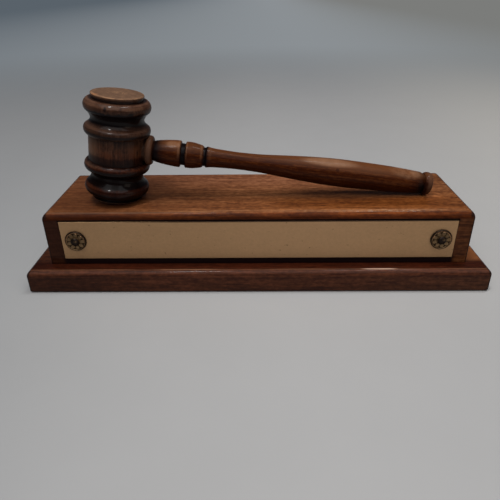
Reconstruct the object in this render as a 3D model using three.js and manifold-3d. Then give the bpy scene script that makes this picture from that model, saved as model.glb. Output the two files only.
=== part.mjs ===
// A turned presentation gavel that lies on a two-tier desk stand with a name plate.
// Millimetres. +X runs along the stand, +Y to its back, +Z up; the origin lies under the stand's middle.
import * as THREE from 'three';
import { mergeVertices } from 'three/addons/utils/BufferGeometryUtils.js';
import Module from 'manifold-3d';

// Shared fits
const SEAM_GAP = 0.1; // between faces that are glued or screwed together
const SEAT_GAP = 0.3; // around a piece that is let into another
const REST_GAP = 0.3; // under the gavel where it lies on the block
const CUT_OVERRUN = 1; // how far a cutter runs past the face that it opens

// Gavel head, turned about its own upright axis and alike at both ends
const HEAD_LENGTH = 67.6;
const FACE_RADIUS = 16.35;
const FACE_EDGE_ROUND = 0.55;
const FACE_LIP_HEIGHT = 1.35;
const FACE_UNDERCUT = 0.5;
const FACE_STAND = 3.1; // height of the striking disc above the end ring
const END_RING_RADIUS = 20.85;
const END_RING_REACH = 4; // how far the ring's rounding comes out
const END_RING_HALF_WIDTH = 4.3;
const END_RING_START_DEGREES = -35; // where the cove runs out into the end ring
const INNER_RING_RADIUS = 20.95;
const INNER_RING_REACH = 2.8;
const INNER_RING_HALF_WIDTH = 3.3;
const INNER_RING_END_DEGREES = 40; // where the inner ring runs out into the cove
const RING_SPACING = 14.7; // end ring to inner ring
const COVE_RADIUS = 16.75; // least radius between the two rings
const BARREL_RADIUS = 18.15;

// Gavel handle, turned about an axis that meets the head's middle
const TENON_RADIUS = 4.75;
const TENON_REACH = 7; // past the head's axis
const TENON_CHAMFER = 0.8;
const COLLAR_RADIUS = 9.6;
const COLLAR_WIDTH = 4.9;
const COLLAR_BACK_ROUND = 2.2;
const COLLAR_FRONT_ROUND = 1.4;
const NECK_RADIUS = 6.3;
const NECK_WIDTH = 1.4;
const BULB_LENGTH = 16.5;
const BULB_START_RADIUS = 6.8;
const BULB_RADIUS = 8.65;
const BULB_END_ROUND = 1;
const COVE_RING_WIDTH = 2.9; // the dark cove between bulb and bead
const COVE_RING_RADIUS = 7;
const BEAD_LENGTH = 11.7;
const BEAD_RADIUS = 8.5;
const BEAD_END_RADIUS = 7;
const BEAD_EDGE_ROUND = 0.9;
const GROOVE_WIDTH = 2.2;
const GROOVE_RADIUS = 6;
const GRIP_LENGTH = 142.9;
const GRIP_THROAT_RADIUS = 6.85;
const GRIP_WAIST_RADIUS = 5.6;
const GRIP_SWELL_RADIUS = 9.13;
const GRIP_END_RADIUS = 7.2;
const BUTT_GROOVE_WIDTH = 2.3;
const BUTT_GROOVE_RADIUS = 6.6;
const BUTT_LENGTH = 5.6;
const BUTT_RADIUS = 7.7;
const BUTT_FACE_RADIUS = 6;

// How the gavel lies on the block
const HEAD_END_MARGIN = 27.2; // from the block's left end to the head
const BUTT_END_MARGIN = 20.5; // from the butt to the block's right end
const HEAD_AXIS_FROM_FRONT = 26.2;
const GAVEL_YAW_DEGREES = 0.8;

// Upper block of the stand
const BLOCK_DEPTH = 75.7;
const BLOCK_HEIGHT = 36.9;
const BLOCK_TOP_ROUND = 4.8;
const BLOCK_FOOT_ROUND = 0.3;
const BLOCK_CORNER_ROUND = 0.9;

// Plinth
const PLINTH_REVEAL = 13.7; // past the block at either end
const PLINTH_FRONT_REVEAL = 11; // past the block at front and back
const PLINTH_HEIGHT = 15.5;
const PLINTH_TOP_ROUND = 3.7;
const PLINTH_FOOT_ROUND = 1.2;
const PLINTH_CORNER_ROUND = 1.2;

// Felt, let into the plinth's underside
const FELT_THICKNESS = 1.2;
const FELT_PROUD = 0.4; // how far it stands out under the plinth
const FELT_INSET = 8; // from the plinth's edges
const FELT_EDGE_ROUND = 0.2;
const FELT_CORNER_ROUND = 2;

// Name plate, in a shallow pocket in the block's front
const PLATE_END_MARGIN = 10.25;
const PLATE_TOP_MARGIN = 6;
const PLATE_FOOT_MARGIN = 4.25;
const PLATE_THICKNESS = 1;
const PLATE_EDGE_BEVEL = 0.35;
const PLATE_CORNER_ROUND = 0.3;
const POCKET_DEPTH = 0.8;
const POCKET_SIDE_GAP = 0.4;
const POCKET_TOP_GAP = 1.2;

// Rosettes at the plate's ends
const ROSETTE_FROM_PLATE_END = 9.3;
const ROSETTE_RADIUS = 7;
const ROSETTE_FLANGE = 0.5;
const ROSETTE_RIM_WIDTH = 1.3;
const ROSETTE_RIM_HEIGHT = 1.2;
const ROSETTE_DOME_HEIGHT = 2;
const ROSETTE_SEAT_RADIUS = 2.9;

// Rosette pins
const PIN_HEAD_RADIUS = 2.65;
const PIN_HEAD_HEIGHT = 1.2;
const PIN_SHANK_RADIUS = 0.8;
const PIN_LENGTH = 13; // under the head
const PIN_POINT_LENGTH = 2;

// Screws from the plinth into the block
const SCREW_FROM_BLOCK_END = 50;
const SCREW_LENGTH = 30;
const SCREW_HEAD_RADIUS = 4.2;
const SCREW_HEAD_HEIGHT = 2.6;
const SCREW_HEAD_EDGE = 0.4;
const SCREW_SHANK_RADIUS = 2.1;
const SCREW_POINT_LENGTH = 5;
const SCREW_SLOT_WIDTH = 1.2;
const SCREW_SLOT_DEPTH = 1.1;

// Counts of flat sides and of steps round a curve
const HEAD_SIDES = 36;
const HANDLE_SIDES = 24;
const ROSETTE_SIDES = 24;
const FASTENER_SIDES = 12;
const ARC_STEPS = 6;
const ROUND_STEPS = 4;
const GRIP_STEPS = 22;

// Worked out from the sizes above
const halfHead = HEAD_LENGTH / 2;
const endRingHeight = halfHead - FACE_STAND - END_RING_HALF_WIDTH;
const innerRingHeight = endRingHeight - RING_SPACING;
const collarStart = BARREL_RADIUS + SEAT_GAP;
const bulbStart = collarStart + COLLAR_WIDTH + NECK_WIDTH;
const bulbEnd = bulbStart + BULB_LENGTH;
const beadStart = bulbEnd + COVE_RING_WIDTH;
const beadEnd = beadStart + BEAD_LENGTH;
const gripStart = beadEnd + GROOVE_WIDTH;
const gripEnd = gripStart + GRIP_LENGTH;
const buttStart = gripEnd + BUTT_GROOVE_WIDTH;
const handleEnd = buttStart + BUTT_LENGTH;
const gavelLength = INNER_RING_RADIUS + handleEnd;
const blockLength = HEAD_END_MARGIN + gavelLength + BUTT_END_MARGIN;
const plinthLength = blockLength + 2 * PLINTH_REVEAL;
const plinthDepth = BLOCK_DEPTH + 2 * PLINTH_FRONT_REVEAL;
const plinthFoot = FELT_PROUD;
const feltRecessDepth = FELT_THICKNESS - FELT_PROUD + SEAM_GAP;
const feltLength = plinthLength - 2 * FELT_INSET;
const feltDepth = plinthDepth - 2 * FELT_INSET;
const screwFoot = plinthFoot + feltRecessDepth + SEAM_GAP;
const blockFoot = plinthFoot + PLINTH_HEIGHT + SEAM_GAP;
const blockTop = blockFoot + BLOCK_HEIGHT;
const blockFront = -BLOCK_DEPTH / 2;
const plateLength = blockLength - 2 * PLATE_END_MARGIN;
const plateHeight = BLOCK_HEIGHT - PLATE_TOP_MARGIN - PLATE_FOOT_MARGIN;
const plateMiddle = blockFoot + PLATE_FOOT_MARGIN + plateHeight / 2;
const plateBack = blockFront + POCKET_DEPTH - SEAM_GAP;
const plateFront = plateBack - PLATE_THICKNESS;
const rosetteBack = plateFront - SEAM_GAP;
const rosetteX = plateLength / 2 - ROSETTE_FROM_PLATE_END;
const pinHeadBack = rosetteBack - ROSETTE_DOME_HEIGHT - SEAM_GAP;
const screwX = blockLength / 2 - SCREW_FROM_BLOCK_END;

const QUARTER_TURN = Math.PI / 2;

const wasm = await Module();
wasm.setup();

// Closed geometry as a solid that can be joined and cut.
function solidFrom(geometry) {
  const bare = new THREE.BufferGeometry();
  bare.setAttribute('position', geometry.getAttribute('position'));
  bare.setIndex(geometry.getIndex());
  const merged = mergeVertices(bare);
  return new wasm.Manifold(new wasm.Mesh({
    numProp: 3,
    vertProperties: merged.getAttribute('position').array,
    triVerts: new Uint32Array(merged.getIndex().array),
  }));
}

function geometryFrom(solid) {
  const mesh = solid.getMesh();
  const geometry = new THREE.BufferGeometry();
  geometry.setAttribute('position', new THREE.BufferAttribute(mesh.vertProperties, mesh.numProp));
  geometry.setIndex(new THREE.BufferAttribute(mesh.triVerts, 1));
  return geometry;
}

function cutFrom(geometry, cutters) {
  const cut = cutters.reduce((solid, cutter) => solid.subtract(solidFrom(cutter)), solidFrom(geometry));
  return geometryFrom(cut);
}

function point(x, y) {
  return new THREE.Vector2(x, y);
}

// Points of an ellipse arc, angles in degrees.
function arcPoints(centre, reachX, reachY, startDegrees, endDegrees, steps) {
  const start = THREE.MathUtils.degToRad(startDegrees);
  const end = THREE.MathUtils.degToRad(endDegrees);
  const curve = new THREE.EllipseCurve(centre.x, centre.y, reachX, reachY, start, end, end < start, 0);
  return curve.getPoints(steps);
}

// A round piece about its own +Y, from an outline of (radius, height) points that climbs from axis to axis.
function turnedGeometry(outline, sides) {
  return new THREE.LatheGeometry(outline, sides);
}

// Turns a round piece so that its own +Y lies along +Z.
function stoodUp(geometry) {
  return geometry.rotateX(QUARTER_TURN);
}

// The outline moved outwards by a gap, for a cutter that leaves that gap round the piece.
function grownOutline(outline, gap) {
  return outline.map((here, i) => {
    if (here.x === 0) {
      return point(0, here.y + Math.sign(here.y) * gap);
    }
    const before = outline[i - 1];
    const after = outline[i + 1];
    const along = after.clone().sub(before).normalize();
    return point(here.x + along.y * gap, here.y - along.x * gap);
  });
}

// Corners of a rounded rectangle, counter-clockwise.
function roundedRectangle(length, depth, cornerRound) {
  const corners = [[1, 1], [-1, 1], [-1, -1], [1, -1]];
  return corners.flatMap(([sideX, sideY], quarter) => {
    const centre = point(sideX * (length / 2 - cornerRound), sideY * (depth / 2 - cornerRound));
    return arcPoints(centre, cornerRound, cornerRound, quarter * 90, quarter * 90 + 90, ROUND_STEPS);
  });
}

// A closed body through rings of equal count, each a list of 3-D points, first to last along the body.
function loftGeometry(rings) {
  const count = rings[0].length;
  const places = rings.flat();
  const faces = [];
  for (let ring = 0; ring < rings.length - 1; ring += 1) {
    for (let i = 0; i < count; i += 1) {
      const next = (i + 1) % count;
      const low = ring * count;
      const high = low + count;
      faces.push(low + i, low + next, high + next, low + i, high + next, high + i);
    }
  }
  const last = (rings.length - 1) * count;
  for (let i = 1; i < count - 1; i += 1) {
    faces.push(0, i + 1, i, last, last + i, last + i + 1);
  }
  const geometry = new THREE.BufferGeometry().setFromPoints(places);
  geometry.setIndex(faces);
  return geometry;
}

// A board that stands on z = 0, with its upper edge, lower edge and upright corners rounded.
function boardGeometry({ length, depth, height, topRound, footRound, cornerRound }) {
  const foot = arcPoints(point(-footRound, footRound), footRound, footRound, -90, 0, ROUND_STEPS);
  const top = arcPoints(point(-topRound, height - topRound), topRound, topRound, 0, 90, ROUND_STEPS);
  const cornerLeastShare = 0.3;
  const rings = [...foot, ...top].map((level) => {
    const inset = -level.x;
    const corner = Math.max(cornerRound - inset, cornerLeastShare * cornerRound);
    const outline = roundedRectangle(length - 2 * inset, depth - 2 * inset, corner);
    return outline.map((at) => new THREE.Vector3(at.x, at.y, level.y));
  });
  return loftGeometry(rings);
}

// Half of the head's outline, from its middle to the centre of a face.
function halfHeadOutline() {
  const endRingCentre = point(END_RING_RADIUS - END_RING_REACH, endRingHeight);
  const innerRingCentre = point(INNER_RING_RADIUS - INNER_RING_REACH, innerRingHeight);
  const innerRing = arcPoints(
    innerRingCentre,
    INNER_RING_REACH,
    INNER_RING_HALF_WIDTH,
    -90,
    INNER_RING_END_DEGREES,
    ARC_STEPS,
  );
  const endRing = arcPoints(
    endRingCentre,
    END_RING_REACH,
    END_RING_HALF_WIDTH,
    END_RING_START_DEGREES,
    90,
    ARC_STEPS,
  );
  const coveStart = innerRing[innerRing.length - 1];
  const coveEnd = endRing[0];
  // The cove's depth along its run, both as shares.
  const coveShares = [
    [0.06, 0.21], [0.16, 0.59], [0.29, 0.89], [0.43, 1], [0.55, 0.97], [0.68, 0.81], [0.85, 0.48],
  ];
  const cove = coveShares.map(([runShare, depthShare]) => {
    const chord = coveStart.clone().lerp(coveEnd, runShare);
    return point(THREE.MathUtils.lerp(chord.x, COVE_RADIUS, depthShare), chord.y);
  });
  const discRadius = FACE_RADIUS - FACE_UNDERCUT;
  const edgeCentre = point(FACE_RADIUS - FACE_EDGE_ROUND, halfHead - FACE_EDGE_ROUND);
  return [
    point(BARREL_RADIUS, 0),
    ...innerRing,
    ...cove,
    ...endRing,
    point(discRadius, halfHead - FACE_STAND),
    point(discRadius, halfHead - FACE_LIP_HEIGHT - FACE_UNDERCUT),
    point(FACE_RADIUS, halfHead - FACE_LIP_HEIGHT),
    ...arcPoints(edgeCentre, FACE_EDGE_ROUND, FACE_EDGE_ROUND, 0, 90, ROUND_STEPS),
    point(0, halfHead),
  ];
}

function headOutline() {
  const upper = halfHeadOutline();
  const lower = upper.slice(1).reverse().map((at) => point(at.x, -at.y));
  return [...lower, ...upper];
}

// The tenon and the blind bore that it sits in, from the inner end to a given place.
function tenonOutline(gap, end) {
  const radius = TENON_RADIUS + gap;
  const start = -TENON_REACH - gap;
  return [
    point(0, start),
    point(radius - TENON_CHAMFER, start),
    point(radius, start + TENON_CHAMFER),
    point(radius, end),
    point(0, end),
  ];
}

// Outline of the handle outside the head: (radius, distance from the head's axis).
function handleOutline() {
  const collarBack = point(COLLAR_RADIUS - COLLAR_BACK_ROUND, collarStart + COLLAR_BACK_ROUND);
  const collarEnd = collarStart + COLLAR_WIDTH;
  const collarFront = point(COLLAR_RADIUS - COLLAR_FRONT_ROUND, collarEnd - COLLAR_FRONT_ROUND);
  // The bulb's swell along its length, both as shares.
  const bulbShares = [[0, 0], [0.2, 0.36], [0.4, 0.62], [0.6, 0.82], [0.8, 0.96]];
  const bulb = bulbShares.map(([runShare, swellShare]) => point(
    THREE.MathUtils.lerp(BULB_START_RADIUS, BULB_RADIUS, swellShare),
    bulbStart + runShare * BULB_LENGTH,
  ));
  const bulbEndCentre = point(BULB_RADIUS - BULB_END_ROUND, bulbEnd - BULB_END_ROUND);
  // The bead's fall from its edge by the bulb to its small end, both as shares.
  const beadShares = [[0.35, 0.03], [0.55, 0.24], [0.75, 0.56], [0.9, 0.84]];
  const bead = beadShares.map(([runShare, fallShare]) => point(
    THREE.MathUtils.lerp(BEAD_RADIUS, BEAD_END_RADIUS, fallShare),
    beadStart + runShare * BEAD_LENGTH,
  ));
  const beadEdgeCentre = point(BEAD_RADIUS - BEAD_EDGE_ROUND, beadStart + BEAD_EDGE_ROUND);
  const beadEndCentre = point(BEAD_END_RADIUS - BEAD_EDGE_ROUND, beadEnd - BEAD_EDGE_ROUND);
  const buttCentre = point(BUTT_FACE_RADIUS, buttStart + BUTT_LENGTH / 2);
  const buttReach = BUTT_RADIUS - BUTT_FACE_RADIUS;
  return [
    point(0, collarStart),
    ...arcPoints(collarBack, COLLAR_BACK_ROUND, COLLAR_BACK_ROUND, -90, 0, ROUND_STEPS),
    ...arcPoints(collarFront, COLLAR_FRONT_ROUND, COLLAR_FRONT_ROUND, 0, 90, ROUND_STEPS),
    point(NECK_RADIUS, collarEnd),
    ...bulb,
    ...arcPoints(bulbEndCentre, BULB_END_ROUND, BULB_END_ROUND, 0, 90, ROUND_STEPS),
    point(COVE_RING_RADIUS, bulbEnd + SEAT_GAP),
    point(COVE_RING_RADIUS, beadStart - SEAT_GAP),
    ...arcPoints(beadEdgeCentre, BEAD_EDGE_ROUND, BEAD_EDGE_ROUND, -90, 0, ROUND_STEPS),
    ...bead,
    ...arcPoints(beadEndCentre, BEAD_EDGE_ROUND, BEAD_EDGE_ROUND, 0, 90, ROUND_STEPS),
    point(GROOVE_RADIUS, beadEnd + GROOVE_WIDTH / 2),
    ...gripPoints(),
    point(BUTT_GROOVE_RADIUS, gripEnd + BUTT_GROOVE_WIDTH / 2),
    ...arcPoints(buttCentre, buttReach, BUTT_LENGTH / 2, -90, 90, 2 * ARC_STEPS),
    point(0, handleEnd),
  ];
}

// The long grip: a throat, a slim waist, a swell towards the hand's end and a slight fall.
function gripPoints() {
  const waistShare = 0.154;
  const swellShare = 0.637;
  // Radius between two of the named radii, at shares of the way from one place to the next.
  const fallShares = [[0, 0], [0.16, 0.45], [0.4, 0.72], [0.7, 0.92]];
  const riseShares = [[0, 0], [0.19, 0.1], [0.385, 0.39], [0.58, 0.68], [0.77, 0.9], [0.88, 0.975]];
  const endShares = [[0, 0], [0.22, 0.06], [0.48, 0.21], [0.74, 0.5], [1, 1]];
  const stretch = (from, to, startRadius, endRadius, shares) => shares.map(([runShare, radiusShare]) => point(
    THREE.MathUtils.lerp(startRadius, endRadius, radiusShare),
    gripStart + THREE.MathUtils.lerp(from, to, runShare) * GRIP_LENGTH,
  ));
  const knots = [
    ...stretch(0, waistShare, GRIP_THROAT_RADIUS, GRIP_WAIST_RADIUS, fallShares),
    ...stretch(waistShare, swellShare, GRIP_WAIST_RADIUS, GRIP_SWELL_RADIUS, riseShares),
    ...stretch(swellShare, 1, GRIP_SWELL_RADIUS, GRIP_END_RADIUS, endShares),
  ];
  return new THREE.SplineCurve(knots).getPoints(GRIP_STEPS);
}

// The tilt at which the head's lower rim and the butt touch one level plane, and the head's height on it.
function restingPose() {
  const head = headOutline();
  const handle = handleOutline();
  const headDrop = (tilt) => Math.max(...head.map((at) => at.x * Math.sin(tilt) - at.y * Math.cos(tilt)));
  const handleDrop = (tilt) => Math.max(...handle.map((at) => at.y * Math.sin(tilt) + at.x * Math.cos(tilt)));
  const halvings = 50;
  let level = 0;
  let steep = QUARTER_TURN / 2;
  for (let i = 0; i < halvings; i += 1) {
    const tilt = (level + steep) / 2;
    if (handleDrop(tilt) < headDrop(tilt)) {
      level = tilt;
    } else {
      steep = tilt;
    }
  }
  return { tilt: level, height: headDrop(level) + REST_GAP };
}

function headGeometry() {
  const bore = turnedGeometry(tenonOutline(SEAT_GAP, BARREL_RADIUS + CUT_OVERRUN), HANDLE_SIDES);
  const head = stoodUp(turnedGeometry(headOutline(), HEAD_SIDES));
  return cutFrom(head, [bore.rotateZ(-QUARTER_TURN)]);
}

function handleGeometry() {
  const outside = solidFrom(turnedGeometry(handleOutline(), HANDLE_SIDES).rotateZ(-QUARTER_TURN));
  const tenonEnd = collarStart + COLLAR_WIDTH / 2;
  const tenon = solidFrom(turnedGeometry(tenonOutline(0, tenonEnd), HANDLE_SIDES).rotateZ(-QUARTER_TURN));
  const headRoom = solidFrom(stoodUp(turnedGeometry(grownOutline(headOutline(), SEAT_GAP), HEAD_SIDES)));
  return geometryFrom(outside.subtract(headRoom).add(tenon));
}

// A round hole along its own +Y, from the origin.
function roundHole(radius, depth) {
  return new THREE.CylinderGeometry(radius, radius, depth, FASTENER_SIDES).translate(0, depth / 2, 0);
}

function blockGeometry() {
  const block = boardGeometry({
    length: blockLength,
    depth: BLOCK_DEPTH,
    height: BLOCK_HEIGHT,
    topRound: BLOCK_TOP_ROUND,
    footRound: BLOCK_FOOT_ROUND,
    cornerRound: BLOCK_CORNER_ROUND,
  });
  const pocketHeight = plateHeight + POCKET_SIDE_GAP + POCKET_TOP_GAP;
  const pocketLength = plateLength + 2 * POCKET_SIDE_GAP;
  const pocketMiddle = plateMiddle - blockFoot + (POCKET_TOP_GAP - POCKET_SIDE_GAP) / 2;
  const pocket = new THREE.BoxGeometry(pocketLength, POCKET_DEPTH + CUT_OVERRUN, pocketHeight);
  pocket.translate(0, blockFront + (POCKET_DEPTH - CUT_OVERRUN) / 2, pocketMiddle);
  const cutters = [pocket];
  for (const side of [-1, 1]) {
    const pinHole = roundHole(PIN_SHANK_RADIUS + SEAT_GAP, PIN_LENGTH + SEAT_GAP);
    cutters.push(pinHole.translate(side * rosetteX, pinHeadBack, plateMiddle - blockFoot));
    const screwHole = stoodUp(roundHole(SCREW_SHANK_RADIUS + SEAT_GAP, SCREW_LENGTH + SEAT_GAP));
    cutters.push(screwHole.translate(side * screwX, 0, screwFoot - blockFoot));
  }
  return cutFrom(block, cutters);
}

// Outline of a countersunk screw, point upwards; a gap makes its clearance hole.
function screwOutline(gap) {
  const headRadius = SCREW_HEAD_RADIUS + gap;
  const shankRadius = SCREW_SHANK_RADIUS + gap;
  return [
    point(0, 0),
    point(headRadius, 0),
    point(headRadius, SCREW_HEAD_EDGE),
    point(shankRadius, SCREW_HEAD_HEIGHT),
    point(shankRadius, SCREW_LENGTH - SCREW_POINT_LENGTH),
    point(0, SCREW_LENGTH),
  ];
}

function plinthGeometry() {
  const plinth = boardGeometry({
    length: plinthLength,
    depth: plinthDepth,
    height: PLINTH_HEIGHT,
    topRound: PLINTH_TOP_ROUND,
    footRound: PLINTH_FOOT_ROUND,
    cornerRound: PLINTH_CORNER_ROUND,
  });
  const feltRecess = loftGeometry([-CUT_OVERRUN, feltRecessDepth].map((level) => {
    const outline = roundedRectangle(
      feltLength + 2 * SEAT_GAP,
      feltDepth + 2 * SEAT_GAP,
      FELT_CORNER_ROUND + SEAT_GAP,
    );
    return outline.map((at) => new THREE.Vector3(at.x, at.y, level));
  }));
  const screwHoles = [-1, 1].map((side) => {
    const screwHole = stoodUp(turnedGeometry(screwOutline(SEAT_GAP), FASTENER_SIDES));
    return screwHole.translate(side * screwX, 0, screwFoot - plinthFoot);
  });
  const mouths = [-1, 1].map((side) => {
    const mouth = stoodUp(roundHole(SCREW_HEAD_RADIUS + SEAT_GAP, screwFoot - plinthFoot));
    return mouth.translate(side * screwX, 0, 0);
  });
  return cutFrom(plinth, [feltRecess, ...screwHoles, ...mouths]);
}

function screwGeometry() {
  const slotLength = 2 * (SCREW_HEAD_RADIUS + CUT_OVERRUN);
  const slot = new THREE.BoxGeometry(slotLength, SCREW_SLOT_WIDTH, 2 * SCREW_SLOT_DEPTH);
  return cutFrom(stoodUp(turnedGeometry(screwOutline(0), FASTENER_SIDES)), [slot]);
}

// The plate lies flat here, face up, and is turned to face the front when it is placed.
function plateGeometry() {
  const plate = boardGeometry({
    length: plateLength,
    depth: plateHeight,
    height: PLATE_THICKNESS,
    topRound: PLATE_EDGE_BEVEL,
    footRound: PLATE_EDGE_BEVEL / 2,
    cornerRound: PLATE_CORNER_ROUND,
  });
  const holes = [-1, 1].map((side) => {
    const hole = stoodUp(roundHole(PIN_SHANK_RADIUS + SEAT_GAP, PLATE_THICKNESS + 2 * CUT_OVERRUN));
    return hole.translate(side * rosetteX, 0, -CUT_OVERRUN);
  });
  return cutFrom(plate, holes);
}

// A rosette about its own +Z: a flange with a raised rim, a dome inside it and a flat seat for the pin.
function rosetteGeometry() {
  const rimHalf = ROSETTE_RIM_WIDTH / 2;
  const rimCentre = point(ROSETTE_RADIUS - rimHalf, ROSETTE_FLANGE);
  const rim = arcPoints(rimCentre, rimHalf, ROSETTE_RIM_HEIGHT - ROSETTE_FLANGE, 0, 180, ARC_STEPS);
  const domeEdge = ROSETTE_RADIUS - ROSETTE_RIM_WIDTH;
  // The dome's rise from the rim to the seat, both as shares.
  const domeShares = [[0.12, 0.35], [0.32, 0.68], [0.6, 0.9], [1, 1]];
  const dome = domeShares.map(([runShare, riseShare]) => point(
    THREE.MathUtils.lerp(domeEdge, ROSETTE_SEAT_RADIUS, runShare),
    THREE.MathUtils.lerp(ROSETTE_FLANGE, ROSETTE_DOME_HEIGHT, riseShare),
  ));
  const outline = [
    point(0, 0),
    point(ROSETTE_RADIUS, 0),
    ...rim,
    ...dome,
    point(0, ROSETTE_DOME_HEIGHT),
  ];
  const holeRadius = PIN_SHANK_RADIUS + SEAT_GAP;
  const holeDepth = ROSETTE_DOME_HEIGHT + 2 * CUT_OVERRUN;
  const hole = stoodUp(roundHole(holeRadius, holeDepth)).translate(0, 0, -CUT_OVERRUN);
  return cutFrom(stoodUp(turnedGeometry(outline, ROSETTE_SIDES)), [hole]);
}

// A pin about its own +Z, point down, with the underside of its domed head at z = 0.
function pinGeometry() {
  const dome = arcPoints(point(0, 0), PIN_HEAD_RADIUS, PIN_HEAD_HEIGHT, 0, 90, ROUND_STEPS);
  return stoodUp(turnedGeometry([
    point(0, -PIN_LENGTH),
    point(PIN_SHANK_RADIUS, -PIN_LENGTH + PIN_POINT_LENGTH),
    point(PIN_SHANK_RADIUS, 0),
    ...dome.slice(0, -1),
    point(0, PIN_HEAD_HEIGHT),
  ], FASTENER_SIDES));
}

function material(color, roughness, metalness) {
  return new THREE.MeshStandardMaterial({ color, roughness, metalness });
}

const headWood = material(0x4a2a1a, 0.35, 0);
const handleWood = material(0x6e3c22, 0.35, 0);
const blockWood = material(0x8a5636, 0.45, 0);
const plinthWood = material(0x7a452a, 0.45, 0);
const brass = material(0xa68a5c, 0.45, 1);
const agedBrass = material(0x7a6038, 0.5, 1);
const steel = material(0x9a9a98, 0.4, 1);
const felt = material(0x24382a, 0.95, 0);

function named(name, geometry, finish) {
  const mesh = new THREE.Mesh(geometry, finish);
  mesh.name = name;
  return mesh;
}

function makeStand() {
  const stand = new THREE.Group();
  const pad = boardGeometry({
    length: feltLength,
    depth: feltDepth,
    height: FELT_THICKNESS,
    topRound: FELT_EDGE_ROUND,
    footRound: FELT_EDGE_ROUND,
    cornerRound: FELT_CORNER_ROUND,
  });
  stand.add(named('felt_pad', pad, felt));
  const plinth = named('plinth', plinthGeometry(), plinthWood);
  plinth.position.z = plinthFoot;
  stand.add(plinth);
  const block = named('stand_block', blockGeometry(), blockWood);
  block.position.z = blockFoot;
  stand.add(block);
  const screwShape = screwGeometry();
  for (const [side, word] of [[-1, 'left'], [1, 'right']]) {
    const screw = named(`base_screw_${word}`, screwShape, steel);
    screw.position.set(side * screwX, 0, screwFoot);
    stand.add(screw);
  }
  return stand;
}

// The plate, its rosettes and their pins, built face up and turned to face the front.
function makeNamePlate() {
  const front = new THREE.Group();
  const plate = named('name_plate', plateGeometry(), brass);
  front.add(plate);
  const rosetteShape = rosetteGeometry();
  const pinShape = pinGeometry();
  for (const [side, word] of [[-1, 'left'], [1, 'right']]) {
    const rosette = named(`rosette_${word}`, rosetteShape, agedBrass);
    rosette.position.set(side * rosetteX, 0, plateBack - rosetteBack);
    const pin = named(`rosette_pin_${word}`, pinShape, agedBrass);
    pin.position.set(side * rosetteX, 0, plateBack - pinHeadBack);
    front.add(rosette, pin);
  }
  front.rotation.x = QUARTER_TURN;
  front.position.set(0, plateBack, plateMiddle);
  return front;
}

function makeGavel() {
  const gavel = new THREE.Group();
  gavel.add(named('gavel_head', headGeometry(), headWood));
  gavel.add(named('gavel_handle', handleGeometry(), handleWood));
  const { tilt, height } = restingPose();
  gavel.rotation.set(0, tilt, THREE.MathUtils.degToRad(GAVEL_YAW_DEGREES), 'ZYX');
  gavel.position.set(
    -blockLength / 2 + HEAD_END_MARGIN + INNER_RING_RADIUS,
    blockFront + HEAD_AXIS_FROM_FRONT,
    blockTop + height,
  );
  return gavel;
}

const presentationGavel = new THREE.Group();
presentationGavel.add(makeStand(), makeNamePlate(), makeGavel());

export default presentationGavel;
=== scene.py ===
import math

import bpy
from bpy.props import FloatProperty, FloatVectorProperty, PointerProperty
from bpy.types import Operator, Panel, PropertyGroup
from mathutils import Matrix, Vector


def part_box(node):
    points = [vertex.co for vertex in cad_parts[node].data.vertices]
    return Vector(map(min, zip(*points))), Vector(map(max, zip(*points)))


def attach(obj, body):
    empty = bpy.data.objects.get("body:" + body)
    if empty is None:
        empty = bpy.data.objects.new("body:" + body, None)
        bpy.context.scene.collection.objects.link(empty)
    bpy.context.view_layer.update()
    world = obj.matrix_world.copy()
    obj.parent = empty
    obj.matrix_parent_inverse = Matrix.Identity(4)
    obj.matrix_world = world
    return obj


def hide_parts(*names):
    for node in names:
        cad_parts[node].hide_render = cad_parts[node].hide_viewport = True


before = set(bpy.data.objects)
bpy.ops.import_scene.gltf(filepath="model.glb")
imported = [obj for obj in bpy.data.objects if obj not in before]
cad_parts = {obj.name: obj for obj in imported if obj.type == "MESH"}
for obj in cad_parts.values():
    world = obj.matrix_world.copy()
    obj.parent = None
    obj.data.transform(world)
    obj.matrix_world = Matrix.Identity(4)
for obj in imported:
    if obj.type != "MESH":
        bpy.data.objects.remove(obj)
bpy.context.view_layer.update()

bl_info = {
    "name": "Desk gavel",
    "version": (1, 0, 0),
    "blender": (4, 5, 0),
    "location": "3D View > Sidebar > Gavel",
    "description": "Models a turned gavel on a desk stand with a bare brass plate",
    "category": "Object",
}

MM = 0.001
QUARTER_TURN = math.pi / 2
FULL_TURN = 2 * math.pi

# How many steps the turned pieces have round their axes
HEAD_STEPS = 144
HANDLE_STEPS = 96
SMALL_STEPS = 64

# How many steps the curves and roundings of their outlines have
RING_STEPS = 18
BUTT_STEPS = 16
CROWN_STEPS = 12
RIM_STEPS = 10
ROUND_STEPS = 8
EDGE_STEPS = 6
FOOT_STEPS = 4
GRIP_STEPS = 5
SWELL_STEPS = 4
COVE_STEPS = 3

PETAL_COUNT = 9
PETAL_SIDES = 20
WELD_DISTANCE = 1e-6

# The flat of a striking face, as a share of its radius
FACE_FLAT = 0.9

# Where the arc of a pin's crown ends, just before the top
CROWN_DEGREES = 88

# The rounding of a rosette's seat, and how far its side leans out for its height
SEAT_ROUND = 0.2 * MM
SEAT_SLOPE = 0.25

# How far the pocket's cutter stands out before the block
POCKET_OVERCUT = MM

# Steepest angles that are shaded smooth, in degrees
ROUND_SMOOTH = 40
BOARD_SMOOTH = 30
SMALL_SMOOTH = 35

# How near the handle's far end its direction is measured, each time within a smaller margin
END_MARGINS = (4 * MM, MM, 0.2 * MM)

# Digits after the point by which places are told apart, in metres
PLACE_DIGITS = 7

# Up to which share of its reach a painted spot keeps its full strength
SPOT_CORE = 0.45

# How often the floor is cut, and how bright its darker mottling is as a share
FLOOR_CUTS = 3
FLOOR_DIM = 0.94

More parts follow.
